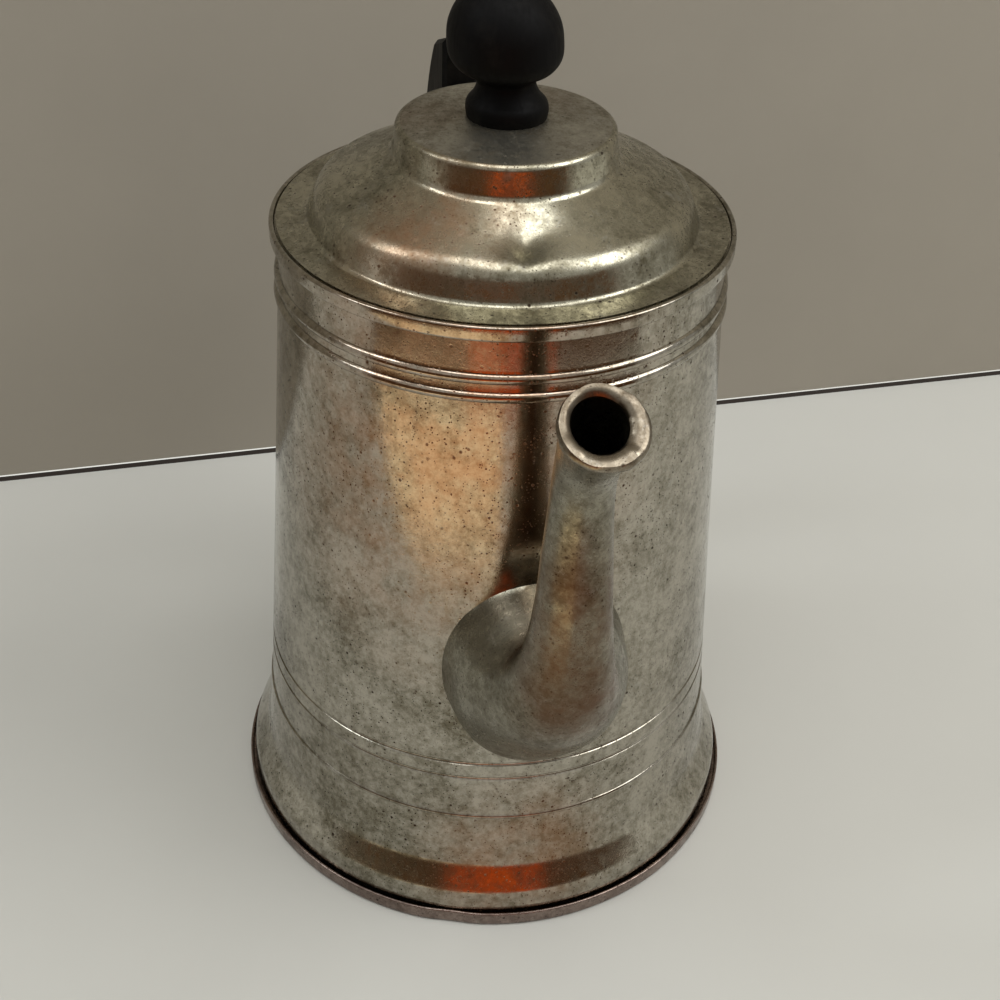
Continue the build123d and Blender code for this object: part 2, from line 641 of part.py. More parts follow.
def punched(shape, first, last, low, high):
    """The shape with evenly punched rings of round holes along Z, from the first radius to the last."""
    for ring_number in range(int((last - first) / BASKET_HOLE_STEP) + 1):
        radius = first + ring_number * BASKET_HOLE_STEP
        count = round(2 * pi * radius / BASKET_HOLE_PITCH)
        for i in range(count):
            turn = Rot(0, 0, 360 * i / count)
            shape -= turn * Pos(radius, 0, low) * Cylinder(
                BASKET_HOLE_RADIUS, high - low, align=(Align.CENTER, Align.CENTER, Align.MIN)
            )
    return shape


def make_basket_cup():
    def cup(radius, low, bend):
        full = disc(radius, low, BASKET_TOP_Z)
        return fillet(full.edges().sort_by(Axis.Z)[:1], bend)

    shell = cup(BASKET_RADIUS, BASKET_FLOOR_Z, BASKET_FLOOR_BEND)
    shell -= cup(BASKET_RADIUS - SHEET, BASKET_FLOOR_Z + SHEET, BASKET_FLOOR_BEND - SHEET)
    shell += hoop(BASKET_RADIUS - SHEET / 2, BASKET_TOP_Z, BASKET_RIM_RADIUS)
    shell -= disc(SLEEVE_RADIUS + SEAT_GAP, BASKET_FLOOR_Z - 1, BASKET_FLOOR_Z + 2 * SHEET)
    last = BASKET_RADIUS - BASKET_FLOOR_BEND - 2 * BASKET_HOLE_RADIUS
    return punched(shell, BASKET_HOLE_START, last, BASKET_FLOOR_Z - 1, BASKET_FLOOR_Z + 2 * SHEET)


def make_basket_sleeve():
    """The tube in the middle of the basket, with a flange on the basket's floor."""
    sleeve = ring(SLEEVE_BORE, SLEEVE_RADIUS, BASKET_FLOOR_Z, BASKET_TOP_Z - SPREADER_RIM_DEPTH)
    flange_low = BASKET_FLOOR_Z + SHEET
    return sleeve + ring(SLEEVE_BORE, SLEEVE_FLANGE_RADIUS, flange_low, flange_low + SHEET)


def make_spreader():
    """The punched cover on the basket: its turned-down rim sits inside the basket's rim."""
    low = BASKET_TOP_Z + BASKET_RIM_RADIUS + SEAT_GAP
    edge = BASKET_RADIUS + BASKET_RIM_RADIUS / 2
    rim = BASKET_RADIUS - SHEET / 2 - BASKET_RIM_RADIUS - LOOSE_GAP
    bore = TUBE_RADIUS + LOOSE_GAP
    top = outline(
        (bore, low + SPREADER_DOME),
        (bore, low + SPREADER_DOME + SHEET),
        (rim, low + SHEET),
        (edge, low + SHEET),
        (edge, low),
        (rim, low),
        (rim, low - SPREADER_RIM_DEPTH),
        (rim - SHEET, low - SPREADER_RIM_DEPTH),
        (rim - SHEET, low),
    )
    cover = spun(top)
    last = rim - SHEET - 2 * BASKET_HOLE_RADIUS
    return punched(cover, SPREADER_HOLE_START, last, low - 1, low + SPREADER_DOME + 2 * SHEET)


def make_parts():
    outside = dressed_body()
    upper, lower = zip(ARM_HEIGHTS, ARM_REACHES)
    return {
        "foot_band": make_foot_band(),
        "base_plate": make_base_plate(),
        "body_shell": make_body_shell(outside),
        "body_rim": make_body_rim(),
        "spout_tube": make_spout(outside),
        "spout_lip": make_spout_lip(),
        "handle_grip": make_handle_grip(),
        "upper_bracket": make_arm(*upper, outside),
        "lower_bracket": make_arm(*lower, outside),
        "upper_bracket_rivets": make_arm_rivets(upper[0]),
        "lower_bracket_rivets": make_arm_rivets(lower[0]),
        "upper_handle_pin": make_handle_pin(*upper),
        "lower_handle_pin": make_handle_pin(*lower),
        "hinge_body_leaf": make_body_leaf(),
        "hinge_pin": make_hinge_pin(),
        "hinge_lid_leaf": make_lid_leaf(),
        "lid_leaf_rivets": make_lid_leaf_rivets(),
        "lid_shell": make_lid_shell(),
        "lid_skirt": make_lid_skirt(),
        "lid_knob": make_knob(),
        "knob_screw": make_knob_screw(),
        "knob_washer": make_knob_washer(),
        "pump_bell": make_pump_bell(),
        "pump_tube": make_pump_tube(),
        "basket_stop": make_basket_stop(),
        "basket_cup": make_basket_cup(),
        "basket_sleeve": make_basket_sleeve(),
        "spreader_cover": make_spreader(),
    }


def main():
    os.makedirs("parts", exist_ok=True)
    for name, shape in make_parts().items():
        export_step(shape, f"parts/{name}.step")
        print(name, round(shape.volume, 1))


main()
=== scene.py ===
# %% [markdown]
# # An antique percolator coffee pot
# A tall, tapered pot of copper sheet with worn nickel plate on it. It stands on a rolled foot ring, pours
# through a gooseneck spout, and has a hinged, stepped lid with a black wooden knob. A board of black wood
# is its handle, and a pump with a coffee basket stands inside.
# The measured frame gives every piece its real size and place, in metres: +Z is up, the spout points
# along +X, and the origin is the middle of the foot on the table. So the first step is to load it.

# %% Load the measured frame
from math import cos, exp, hypot, pi, radians, sin, sqrt, tan

import bmesh
import bpy
from mathutils import Matrix, Vector, noise


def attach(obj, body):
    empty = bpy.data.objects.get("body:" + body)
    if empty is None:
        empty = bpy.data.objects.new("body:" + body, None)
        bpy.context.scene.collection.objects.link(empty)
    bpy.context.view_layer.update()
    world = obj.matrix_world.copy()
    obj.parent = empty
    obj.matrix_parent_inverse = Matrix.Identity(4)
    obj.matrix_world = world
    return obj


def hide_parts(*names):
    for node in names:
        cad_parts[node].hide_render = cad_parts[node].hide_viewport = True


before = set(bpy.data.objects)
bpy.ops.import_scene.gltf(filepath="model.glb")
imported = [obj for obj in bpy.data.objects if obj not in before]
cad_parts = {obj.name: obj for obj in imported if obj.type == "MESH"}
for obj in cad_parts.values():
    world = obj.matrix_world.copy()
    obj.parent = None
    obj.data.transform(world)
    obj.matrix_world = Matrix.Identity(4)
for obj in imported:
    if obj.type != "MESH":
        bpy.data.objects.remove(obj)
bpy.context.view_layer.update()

MM = 0.001

# %% [markdown]
# ## The camera
# The picture was taken from above the spout's side, about half a metre away. The circles of the foot, the
# grooves, the rim and the lid fix where the camera stood, and how long its lens was. The camera is placed
# by those numbers, rather than by eye, because every later comparison depends on it.

# %% Place the camera
# Metres from the pot's axis, and above the table.
CAMERA_REACH, CAMERA_HEIGHT = 0.3582, 0.3584
CAMERA_TURN = radians(78.0)
PITCH, YAW, ROLL = radians(36.117), radians(0.320), radians(2.213)
FOCAL_PIXELS, PICTURE_PIXELS, SENSOR_WIDTH = 1519.1, 1000, 36.0


def camera_axes():
    """The camera's right, up and forward directions in the pot's frame."""
    forward = Vector((sin(YAW) * cos(PITCH), cos(YAW) * cos(PITCH), -sin(PITCH)))
    right = Vector((cos(YAW), -sin(YAW), 0))
    up = right.cross(forward)
    turn = Matrix.Rotation(CAMERA_TURN, 3, "Z")
    level_right = cos(ROLL) * right + sin(ROLL) * up
    level_up = cos(ROLL) * up - sin(ROLL) * right
    return turn @ level_right, turn @ level_up, turn @ forward


RIGHT, UP, FORWARD = camera_axes()
EYE = Matrix.Rotation(CAMERA_TURN, 3, "Z") @ Vector((0, -CAMERA_REACH, CAMERA_HEIGHT))
lens = bpy.data.cameras.new("picture_camera")
lens.sensor_width = SENSOR_WIDTH
lens.lens = SENSOR_WIDTH * FOCAL_PIXELS / PICTURE_PIXELS
lens.clip_start = 0.01
camera = bpy.data.objects.new("picture_camera", lens)
bpy.context.collection.objects.link(camera)
camera.matrix_world = Matrix.Translation(EYE) @ Matrix((RIGHT, UP, -FORWARD)).transposed().to_4x4()
bpy.context.scene.camera = camera
print("camera at", [round(v, 4) for v in EYE], "lens", round(lens.lens, 2))

# %% [markdown]
# ## Small helpers for shader nodes
# Every material here is made of nodes. A few helpers keep the cells short. They add a node and set its
# values, start a node group with named sockets, and do the sums, mixes and noise that come back often.

# %% Helpers for nodes
def put(tree, kind, values=None, **settings):
    """Add a node; values are socket values or (node, output) links, settings are the node's own."""
    node = tree.nodes.new(kind)
    for name, value in settings.items():
        setattr(node, name, value)
    for name, value in (values or {}).items():
        if isinstance(value, bpy.types.NodeSocket):
            tree.links.new(value, node.inputs[name])
        else:
            node.inputs[name].default_value = value
    return node


def start_group(name, inputs, outputs, kind="ShaderNodeTree"):
    """A node group with named sockets; returns the tree and its input and output nodes."""
    tree = bpy.data.node_groups.new(name, kind)
    for label, socket_type, value in inputs:
        socket = tree.interface.new_socket(label, in_out="INPUT", socket_type=socket_type)
        if value is not None:
            socket.default_value = value
    for label, socket_type in outputs:
        tree.interface.new_socket(label, in_out="OUTPUT", socket_type=socket_type)
    return tree, tree.nodes.new("NodeGroupInput"), tree.nodes.new("NodeGroupOutput")


def ramp(tree, value, low, high, out_low=0.0, out_high=1.0):
    """A clamped map of a value from one range to another."""
    node = put(tree, "ShaderNodeMapRange", {"Value": value, "From Min": low, "From Max": high,
                                            "To Min": out_low, "To Max": out_high})
    return node.outputs["Result"]


def calc(tree, operation, first, second):
    """A sum of two values."""
    node = put(tree, "ShaderNodeMath", {0: first, 1: second}, operation=operation)
    return node.outputs[0]


def tint(tree, factor, first, second, blend="MIX"):
    """Mix two colours by a factor."""
    node = put(tree, "ShaderNodeMix", data_type="RGBA", blend_type=blend)
    for index, value in ((0, factor), (6, first), (7, second)):
        if isinstance(value, bpy.types.NodeSocket):
            tree.links.new(value, node.inputs[index])
        else:
            node.inputs[index].default_value = value
    return node.outputs[2]


def clouds(tree, vector, scale, detail=6.0, roughness=0.6, stretch=None):
    """Fractal noise over the surface, optionally stretched."""
    if stretch:
        vector = put(tree, "ShaderNodeMapping", {"Vector": vector, "Scale": stretch}).outputs[0]
    node = put(tree, "ShaderNodeTexNoise", {"Vector": vector, "Scale": scale, "Detail": detail,
                                            "Roughness": roughness})
    return node.outputs["Fac"]


# %% [markdown]
# ## Worn nickel plate
# The real plate is about a century old. It is still a mirror in places, but a cloudy, olive-grey stain
# lies over much of it, fine dark pits go through to the copper, and wiping has left faint scratches.
# It could be one picture wrapped on the pot. Noise on object coordinates is used instead, because it has
# no seams and keeps its scale on every piece. Broad, cloudy and fine layers add up to the stain, a pale
# bloom lies on top, and cells of three sizes make the pits. One node group does all this, and each
# material sets how stained and how pitted it is.

# %% Build the worn plate group
# Each layer of noise: scale per metre, detail, roughness, and the part of the noise's range that is used.
LAYERS = {"broad": (26, 9, 0.64, 0.39, 0.63), "cloudy": (95, 10, 0.75, 0.39, 0.63),
          "mottle": (420, 9, 0.85, 0.41, 0.59), "speckle": (620, 8, 0.82, 0.54, 0.66),
          "patch": (48, 5, 0.6, 0.36, 0.56), "bloom": (150, 9, 0.85, 0.55, 0.63),
          "scratch": (210, 4, 0.7, 0.60, 0.72)}
# The cells that hold pits: how many there are along a metre, and how much of a cell its pit fills.
PIT_CELLS = ((300, 0.15), (620, 0.20), (1300, 0.26))
EMPTY_CELLS, PIT_EDGE = 0.55, 0.55
BLOOM_COLOUR = (0.50, 0.49, 0.44, 1)


def layer(tree, place, name, low=0.0, high=1.0, stretch=None):
    """One layer of noise, spread from low to high."""
    scale, detail, roughness, start, end = LAYERS[name]
    return ramp(tree, clouds(tree, place, scale, detail, roughness, stretch), start, end, low, high)


def pitted(tree, place):
    """Small round pits in some of the cells of each size."""
    pits = None
    for scale, size in PIT_CELLS:
        cells = put(tree, "ShaderNodeTexVoronoi", {"Vector": place, "Scale": scale, "Randomness": 1.0})
        dot = ramp(tree, cells.outputs["Distance"], size, size * PIT_EDGE)
        chosen = put(tree, "ShaderNodeSeparateColor", {"Color": cells.outputs["Color"]})
        dot = calc(tree, "MULTIPLY", dot, calc(tree, "GREATER_THAN", chosen.outputs[0], EMPTY_CELLS))
        pits = dot if pits is None else calc(tree, "MAXIMUM", pits, dot)
    return pits


def build_worn_plate():
    inputs = [("Vector", "NodeSocketVector", None), ("Plate", "NodeSocketColor", None),
              ("Stain", "NodeSocketColor", None), ("Pit", "NodeSocketColor", None),
              ("Staining", "NodeSocketFloat", 0.5), ("Pitting", "NodeSocketFloat", 0.5),
              ("Polish", "NodeSocketFloat", 0.12), ("Dullness", "NodeSocketFloat", 0.35)]
    outputs = [("Color", "NodeSocketColor"), ("Roughness", "NodeSocketFloat"), ("Height", "NodeSocketFloat")]
    tree, given, made = start_group("Worn plate", inputs, outputs)
    place = given.outputs["Vector"]
    staining = given.outputs["Staining"]

    cloudy = layer(tree, place, "cloudy")
    stain = calc(tree, "ADD", calc(tree, "MULTIPLY", layer(tree, place, "broad"), 0.55),
                 calc(tree, "MULTIPLY", cloudy, 0.50))
    stain = calc(tree, "ADD", stain, layer(tree, place, "mottle", -0.32, 0.30))
    stain = put(tree, "ShaderNodeClamp", {"Value": calc(tree, "MULTIPLY", stain, staining)}).outputs[0]
    pits = calc(tree, "MULTIPLY", pitted(tree, place), layer(tree, place, "patch", 0.30, 1.0))
    pits = calc(tree, "MULTIPLY", pits, given.outputs["Pitting"])
    bloom = calc(tree, "MULTIPLY", layer(tree, place, "bloom"), 0.55)
    bloom = calc(tree, "MULTIPLY", bloom, calc(tree, "MULTIPLY", cloudy, staining))
    freckle = calc(tree, "MULTIPLY", layer(tree, place, "speckle"), calc(tree, "MULTIPLY", stain, 0.62))

    colour = tint(tree, stain, given.outputs["Plate"], given.outputs["Stain"])
    colour = tint(tree, bloom, colour, BLOOM_COLOUR)
    colour = tint(tree, freckle, colour, given.outputs["Pit"])
    colour = tint(tree, pits, colour, given.outputs["Pit"])
    tree.links.new(colour, made.inputs["Color"])

    scratch = layer(tree, place, "scratch", stretch=(1.0, 1.0, 0.06))
    rough = calc(tree, "ADD", calc(tree, "MULTIPLY", stain, given.outputs["Dullness"]), given.outputs["Polish"])
    rough = calc(tree, "ADD", rough, calc(tree, "MULTIPLY", pits, 0.4))
    rough = calc(tree, "ADD", rough, calc(tree, "MULTIPLY", calc(tree, "ADD", scratch, bloom), 0.10))
    tree.links.new(rough, made.inputs["Roughness"])

    grain = clouds(tree, place, 1500, 3, 0.6)
    height = calc(tree, "SUBTRACT", calc(tree, "MULTIPLY", grain, 0.12), pits)
    height = calc(tree, "ADD", height, calc(tree, "MULTIPLY", cloudy, 0.18))
    tree.links.new(height, made.inputs["Height"])
    return tree


worn_plate = build_worn_plate()
print("worn plate group:", len(worn_plate.nodes), "nodes")

# %% [markdown]
# ## Plate materials
# The same group dresses every metal piece. The body is the best kept, the lid is cloudier and greener, the
# spout and its lip are browner, the drum's top is the dullest, the foot ring is dark and purplish, and the
# inside is dull spun sheet with coffee stains. Warm places are painted on top. On the body and the lid they
# are partly copper showing where heat and rubbing have thinned the plate, and partly painted orange
# reflection of the room in front of the pot; on the spout and the drum's top they are darker brown. Each
# such place is a centre and a radius, and noise makes its edge ragged.

# %% Make the plate materials
def plate_material(name, plate, stain, pit, amounts, warm=None):
    """Worn metal. Amounts are for staining, pitting, polish and dullness, in this order.

    warm is (colour, strength, list of (centre, radius)) for warm places: worn copper, brown tarnish and painted
    orange reflection.
    """
    material = bpy.data.materials.new(name)
    material.use_nodes = True
    tree = material.node_tree
    shader = tree.nodes["Principled BSDF"]
    place = put(tree, "ShaderNodeTexCoord").outputs["Object"]
    worn = put(tree, "ShaderNodeGroup", node_tree=worn_plate)
    tree.links.new(place, worn.inputs["Vector"])
    for label, value in (("Plate", plate), ("Stain", stain), ("Pit", pit)):
        worn.inputs[label].default_value = (*value, 1)
    for label, value in zip(("Staining", "Pitting", "Polish", "Dullness"), amounts):
        worn.inputs[label].default_value = value
    colour = worn.outputs["Color"]
    if warm:
        warm_colour, strength, places = warm
        ragged = clouds(tree, place, 70, 7, 0.7)
        for centre, radius in places:
            gap = put(tree, "ShaderNodeVectorMath", {0: place, 1: centre}, operation="DISTANCE")
            near = ramp(tree, gap.outputs["Value"], radius, radius * 0.35, 0.0, strength)
            near = calc(tree, "MULTIPLY", near, ramp(tree, ragged, 0.36, 0.62, 0.25, 1.0))
            colour = tint(tree, near, colour, (*warm_colour, 1))
    tree.links.new(colour, shader.inputs["Base Color"])
    tree.links.new(worn.outputs["Roughness"], shader.inputs["Roughness"])
    relief = put(tree, "ShaderNodeBump", {"Strength": 0.10, "Distance": 0.0006,
                                          "Height": worn.outputs["Height"]})
    tree.links.new(relief.outputs[0], shader.inputs["Normal"])
    shader.inputs["Metallic"].default_value = 1.0
    return material


# The copper colour and the body's and the lid's warm places below are partly copper showing through the plate
# and partly painted orange reflection of the room.
COPPER_AND_REFLECTED_ORANGE, TARNISH, RUST_BROWN = (0.50, 0.22, 0.10), (0.12, 0.052, 0.02), (0.16, 0.10, 0.055)
PIT, FOOT_PIT, INNER_PIT = (0.035, 0.022, 0.013), (0.03, 0.02, 0.018), (0.05, 0.03, 0.02)
BODY_COPPER_AND_PAINTED_REFLECTION = [((0.058, -0.02, 0.178), 0.055), ((0.060, -0.028, 0.135), 0.06), ((0.07, -0.004, 0.02), 0.035)]
LID_COPPER_AND_PAINTED_REFLECTION = [((0.03, -0.02, 0.205), 0.022), ((0.03, -0.032, 0.192), 0.02)]
SPOUT_WARM = [((0.101, 0.001, 0.132), 0.030), ((0.098, 0.002, 0.105), 0.020)]
CROWN_WARM = [((-0.012, 0.012, 0.2145), 0.014), ((-0.004, -0.02, 0.2145), 0.012)]
# The body and the lid take a painted orange reflection in their copper places.
body_plate = plate_material("body_plate", (0.46, 0.43, 0.365), (0.165, 0.147, 0.105), PIT,
                            (1.0, 1.0, 0.05, 0.18), (COPPER_AND_REFLECTED_ORANGE, 0.30, BODY_COPPER_AND_PAINTED_REFLECTION))
lid_plate = plate_material("lid_plate", (0.50, 0.475, 0.37), (0.155, 0.138, 0.09), PIT,
                           (1.0, 1.0, 0.17, 0.24), (COPPER_AND_REFLECTED_ORANGE, 0.30, LID_COPPER_AND_PAINTED_REFLECTION))
spout_plate = plate_material("spout_plate", (0.30, 0.28, 0.22), (0.13, 0.115, 0.08), PIT,
                             (1.0, 0.8, 0.20, 0.22), (TARNISH, 0.75, SPOUT_WARM))
lip_plate = plate_material("lip_plate", (0.30, 0.26, 0.20), (0.13, 0.10, 0.065), PIT,
                           (0.9, 0.6, 0.24, 0.22))
crown_plate = plate_material("crown_plate", (0.44, 0.42, 0.35), (0.15, 0.125, 0.085), PIT,
                             (1.0, 0.9, 0.34, 0.20), (RUST_BROWN, 0.5, CROWN_WARM))
foot_plate = plate_material("foot_plate", (0.30, 0.235, 0.205), (0.13, 0.095, 0.08), FOOT_PIT,
                            (0.9, 0.8, 0.18, 0.25))
inner_plate = plate_material("inner_plate", (0.42, 0.40, 0.35), (0.18, 0.14, 0.09), INNER_PIT,
                             (0.8, 0.7, 0.25, 0.3))
rivet_plate = plate_material("rivet_plate", (0.34, 0.32, 0.28), (0.16, 0.14, 0.11), INNER_PIT,
                             (0.8, 0.5, 0.25, 0.3))
print("plate materials:", [m.name for m in bpy.data.materials if m.name.endswith("_plate")])

# %% [markdown]
# ## Ebonised wood
# The knob and the handle are turned and sawn hardwood, stained black and then dried out by a century of
# stoves. Close up it is not a flat black: the grain stands out a little, the high places are greyer, and
# the sheen is low and uneven. The grain is noise stretched along the piece.

# %% Build the wood group and material
BLACK_WOOD, RUBBED_WOOD = (0.0022, 0.002, 0.002, 1), (0.012, 0.010, 0.008, 1)


def build_dry_wood():
    inputs = [("Vector", "NodeSocketVector", None), ("Black", "NodeSocketColor", None),
              ("Worn", "NodeSocketColor", None), ("Wear", "NodeSocketFloat", 0.4)]
    outputs = [("Color", "NodeSocketColor"), ("Roughness", "NodeSocketFloat"), ("Height", "NodeSocketFloat")]
    tree, given, made = start_group("Dry black wood", inputs, outputs)
    place = given.outputs["Vector"]
    grain = clouds(tree, place, 900, 6, 0.65, (1.0, 1.0, 0.08))
    rubbed = ramp(tree, clouds(tree, place, 120, 7, 0.7), 0.50, 0.72)
    amount = calc(tree, "MULTIPLY", rubbed, given.outputs["Wear"])
    colour = tint(tree, amount, given.outputs["Black"], given.outputs["Worn"])
    tree.links.new(colour, made.inputs["Color"])
    tree.links.new(ramp(tree, grain, 0.35, 0.7, 0.50, 0.66), made.inputs["Roughness"])
    tree.links.new(grain, made.inputs["Height"])
    return tree


def wood_material(name, wear):
    material = bpy.data.materials.new(name)
    material.use_nodes = True
    tree = material.node_tree
    shader = tree.nodes["Principled BSDF"]
    wood = put(tree, "ShaderNodeGroup", node_tree=dry_wood)
    tree.links.new(put(tree, "ShaderNodeTexCoord").outputs["Object"], wood.inputs["Vector"])
    wood.inputs["Black"].default_value = BLACK_WOOD
    wood.inputs["Worn"].default_value = RUBBED_WOOD
    wood.inputs["Wear"].default_value = wear
    relief = put(tree, "ShaderNodeBump", {"Strength": 0.12, "Distance": 0.0004,
                                          "Height": wood.outputs["Height"]})
    tree.links.new(wood.outputs["Color"], shader.inputs["Base Color"])
    tree.links.new(wood.outputs["Roughness"], shader.inputs["Roughness"])
    tree.links.new(relief.outputs[0], shader.inputs["Normal"])
    shader.inputs["Specular IOR Level"].default_value = 0.09
    return material


dry_wood = build_dry_wood()
knob_wood = wood_material("knob_wood", 0.5)
handle_wood = wood_material("handle_wood", 0.9)
print("wood materials:", knob_wood.name, handle_wood.name)

# %% [markdown]
# ## Turning pieces on the axis
# Most of this pot was spun or turned, so most of its pieces are one outline swept round the axis. Blender
# can do that with a Screw modifier. A short function does it here instead, because it can also bend the
# result a little as it goes: hand-worked sheet is never quite round, and that is what makes the
# reflections on a real pot wander.

# %% Helpers for turned pieces
def rounded(corners, bends, steps=8):
    """A line of (radius, height) points through corners, with an arc of its own radius at each inner one."""
    line = [corners[0]]
    for index, bend in enumerate(bends, start=1):
        before, here, after = (Vector(corners[index + k]) for k in (-1, 0, 1))
        one, two = (before - here).normalized(), (after - here).normalized()
        half = one.angle(two) / 2
        reach = bend / tan(half)
        centre = here + (one + two).normalized() * (bend / sin(half))
        start, end = here + one * reach - centre, here + two * reach - centre
        sweep = start.angle_signed(end)
        for step in range(steps + 1):
            arm = start.copy()
            arm.rotate(Matrix.Rotation(-sweep * step / steps, 2))
            line.append(tuple(centre + arm))
    line.append(corners[-1])
    return line


def evenly(line, gap):
    """The same line with long stretches divided, so that bends and dents have points to move."""
    dense = [line[0]]
    for before, here in zip(line, line[1:]):
        pieces = max(1, int(hypot(here[0] - before[0], here[1] - before[1]) / gap))
        for k in range(1, pieces + 1):
            share = k / pieces
            dense.append(tuple(b + (h - b) * share for b, h in zip(before, here)))
    return dense


def make_piece(name, vertices, faces, material, crease=34):
    """A smooth-shaded mesh object with its faces outwards and its sharp edges kept."""
    mesh = bpy.data.meshes.new(name)
    work = bmesh.new()
    points = [work.verts.new(v) for v in vertices]
    for face in faces:
        work.faces.new([points[i] for i in face])
    if work.calc_volume(signed=True) < 0:
        bmesh.ops.reverse_faces(work, faces=work.faces)
    work.to_mesh(mesh)
    work.free()
    mesh.shade_smooth()
    mesh.set_sharp_from_angle(angle=radians(crease))
    mesh.materials.append(material)
    piece = bpy.data.objects.new(name, mesh)
    bpy.context.collection.objects.link(piece)
    return piece


def turned(name, loop, material, warp=None, around=320, crease=34):
    """Sweep a closed loop of (radius, height) in millimetres round the axis. Radius 0 makes a pole.

    warp moves a point of the loop at each angle, and around is how many points a ring has.
    """
    vertices, rows = [], []
    for radius, height in loop:
        if radius < 1e-6:
            rows.append([len(vertices)] * around)
            vertices.append(Vector((0, 0, height)) * MM)
            continue
        rows.append(list(range(len(vertices), len(vertices) + around)))
        for k in range(around):
            angle = 2 * pi * k / around
            r, z = warp(radius, height, angle) if warp else (radius, height)
            vertices.append(Vector((r * cos(angle), r * sin(angle), z)) * MM)
    faces = []
    for one, two in zip(rows, rows[1:] + rows[:1]):
        for k in range(around):
            face = list(dict.fromkeys([one[k], one[(k + 1) % around], two[(k + 1) % around], two[k]]))
            if len(face) > 2:
                faces.append(face)
    return make_piece(name, vertices, faces, material, crease)


def hand(radius, height, angle, size=70.0, seed=0.0):
    """A slow wave between -1 and 1 over the metal, the same on every run."""
    where = Vector((radius * cos(angle), radius * sin(angle), height)) / size
    return noise.noise(where + Vector((seed, 3.1 * seed, 7.7)))


def signed(angle):
    """An angle from 0 to a full turn, as one between minus and plus half a turn."""
    return angle - (2 * pi if angle > pi else 0)


def clip(value):
    return max(0.0, min(1.0, value))


# %% [markdown]
# ## The body wall
# The wall is one tapered sheet, flared at the foot. Two raised beads run round it under the rim, and two
# sunk grooves and a faint crease run round above the foot. Its outline is worked out height by height, so
# beads and grooves are added to the radius where they are. The sheet is 1 mm thick.

# %% Turn the body wall
SHEET = 1.0
WALL_CORNERS = [(74.4, 2.4), (73.8, 10.4), (69.2, 19.2), (67.0, 36.0), (65.8, 54.0), (57.3, 186.3)]
WALL_BENDS = [5.0, 9.0, 40.0, 40.0]
WALL_FOOT, WALL_TOP = WALL_CORNERS[0][1], WALL_CORNERS[-1][1]
# A bead is (height, size, how far its middle lies out of the wall), a groove is (height, size), and the
# crease is (height, radius of its middle, size).
BEADS = [(173.8, 1.5, -0.45), (169.0, 1.5, -0.45)]
GROOVES = [(50.2, 0.6), (55.4, 0.65)]
GROOVE_LIFT = 0.25
CREASE = (36.0, 66.65, 0.8)


def radius_on(line, height):
    """The radius of a rising line at a height."""
    for (r0, z0), (r1, z1) in zip(line, line[1:]):
        if z0 <= height <= z1:
            return r0 + (r1 - r0) * (height - z0) / max(z1 - z0, 1e-9)
    return line[-1][0] if height > line[-1][1] else line[0][0]


def wall_heights():
    """Heights to sample: wide apart on the plain wall and close at the foot, beads, grooves and crease."""
    heights = [WALL_FOOT + (WALL_TOP - WALL_FOOT) * k / 90 for k in range(91)]
    heights += [WALL_FOOT + 0.6 * k for k in range(45)]
    for centre, reach in [(z, r) for z, r, _ in BEADS] + GROOVES + [(CREASE[0], CREASE[2])]:
        heights += [centre + reach * sin(pi * (k / 10 - 0.5)) * 1.02 for k in range(11)]
    heights = sorted(h for h in heights if WALL_FOOT <= h <= WALL_TOP)
    kept = [heights[0]]
    for height in heights[1:]:
        if height - kept[-1] > 0.03:
            kept.append(height)
    return kept


def wall_radius(height, plain):
    """The outer radius at a height, with the beads, grooves and crease on the plain outline."""
    radius = radius_on(plain, height)
    for centre, size, out in BEADS:
        if abs(height - centre) < size:
            bulge = sqrt(size ** 2 - (height - centre) ** 2)
            radius = max(radius, radius_on(plain, centre) + out + bulge)
    for centre, size in GROOVES:
        if abs(height - centre) < size:
            hollow = sqrt(size ** 2 - (height - centre) ** 2)
            radius = min(radius, radius_on(plain, centre) + GROOVE_LIFT - hollow)
    centre, middle_radius, size = CREASE
    if abs(height - centre) < size:
        radius = max(radius, middle_radius + sqrt(size ** 2 - (height - centre) ** 2))
    return radius


def wall_warp(radius, height, angle):
    """Slight unevenness that fades out at the rim and at the foot."""
    fade = min(clip((height - 8) / 20), clip((180 - height) / 20))
    slow, fine = hand(radius, height, angle), hand(radius, height, angle, 18, 2)
    return radius + fade * (0.22 * slow + 0.05 * fine), height


plain_wall = rounded(WALL_CORNERS, WALL_BENDS, 14)
outer_wall = [(wall_radius(z, plain_wall), z) for z in wall_heights()]
inner_wall = [(radius_on(plain_wall, z) - SHEET, z) for z in wall_heights()[::3] + [WALL_TOP]]
body_wall = turned("body_wall", outer_wall + inner_wall[::-1], body_plate, wall_warp)
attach(body_wall, "pot")
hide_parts("body_shell")
print("body wall:", len(body_wall.data.polygons), "faces")

# %% [markdown]
# ## The foot ring and the rim
# The foot is a strip rolled tight round the wall's edge. Standing on stoves and tables has knocked it: it
# is dark, and in front it wanders a little. The rim is a wired band, with a ledge inside that the lid
# rests on.

# %% Turn the foot ring and the rim
FOOT_OUTER_FACE = 74
KNOCK_ANGLE, KNOCK_WIDTH, KNOCK_DEPTH = -0.32, 0.07, 0.45
# The rings are drawn in by this much, so that their wander stays within the measured size.
FOOT_ROOM, RIM_ROOM = 0.16, 0.05


def foot_warp(radius, height, angle):
    """A knock in front and a slight wander, both on the outer face alone."""
    outer = 1 if radius > FOOT_OUTER_FACE else 0
    knock = exp(-((signed(angle) - KNOCK_ANGLE) / KNOCK_WIDTH) ** 2)
    wander = 0.16 * hand(radius, 0, angle, 24, 5)
    return radius + outer * (wander - KNOCK_DEPTH * knock) - FOOT_ROOM, height


def rim_warp(radius, height, angle):
    return radius + 0.07 * hand(radius, 0, angle, 22, 9) - RIM_ROOM, height


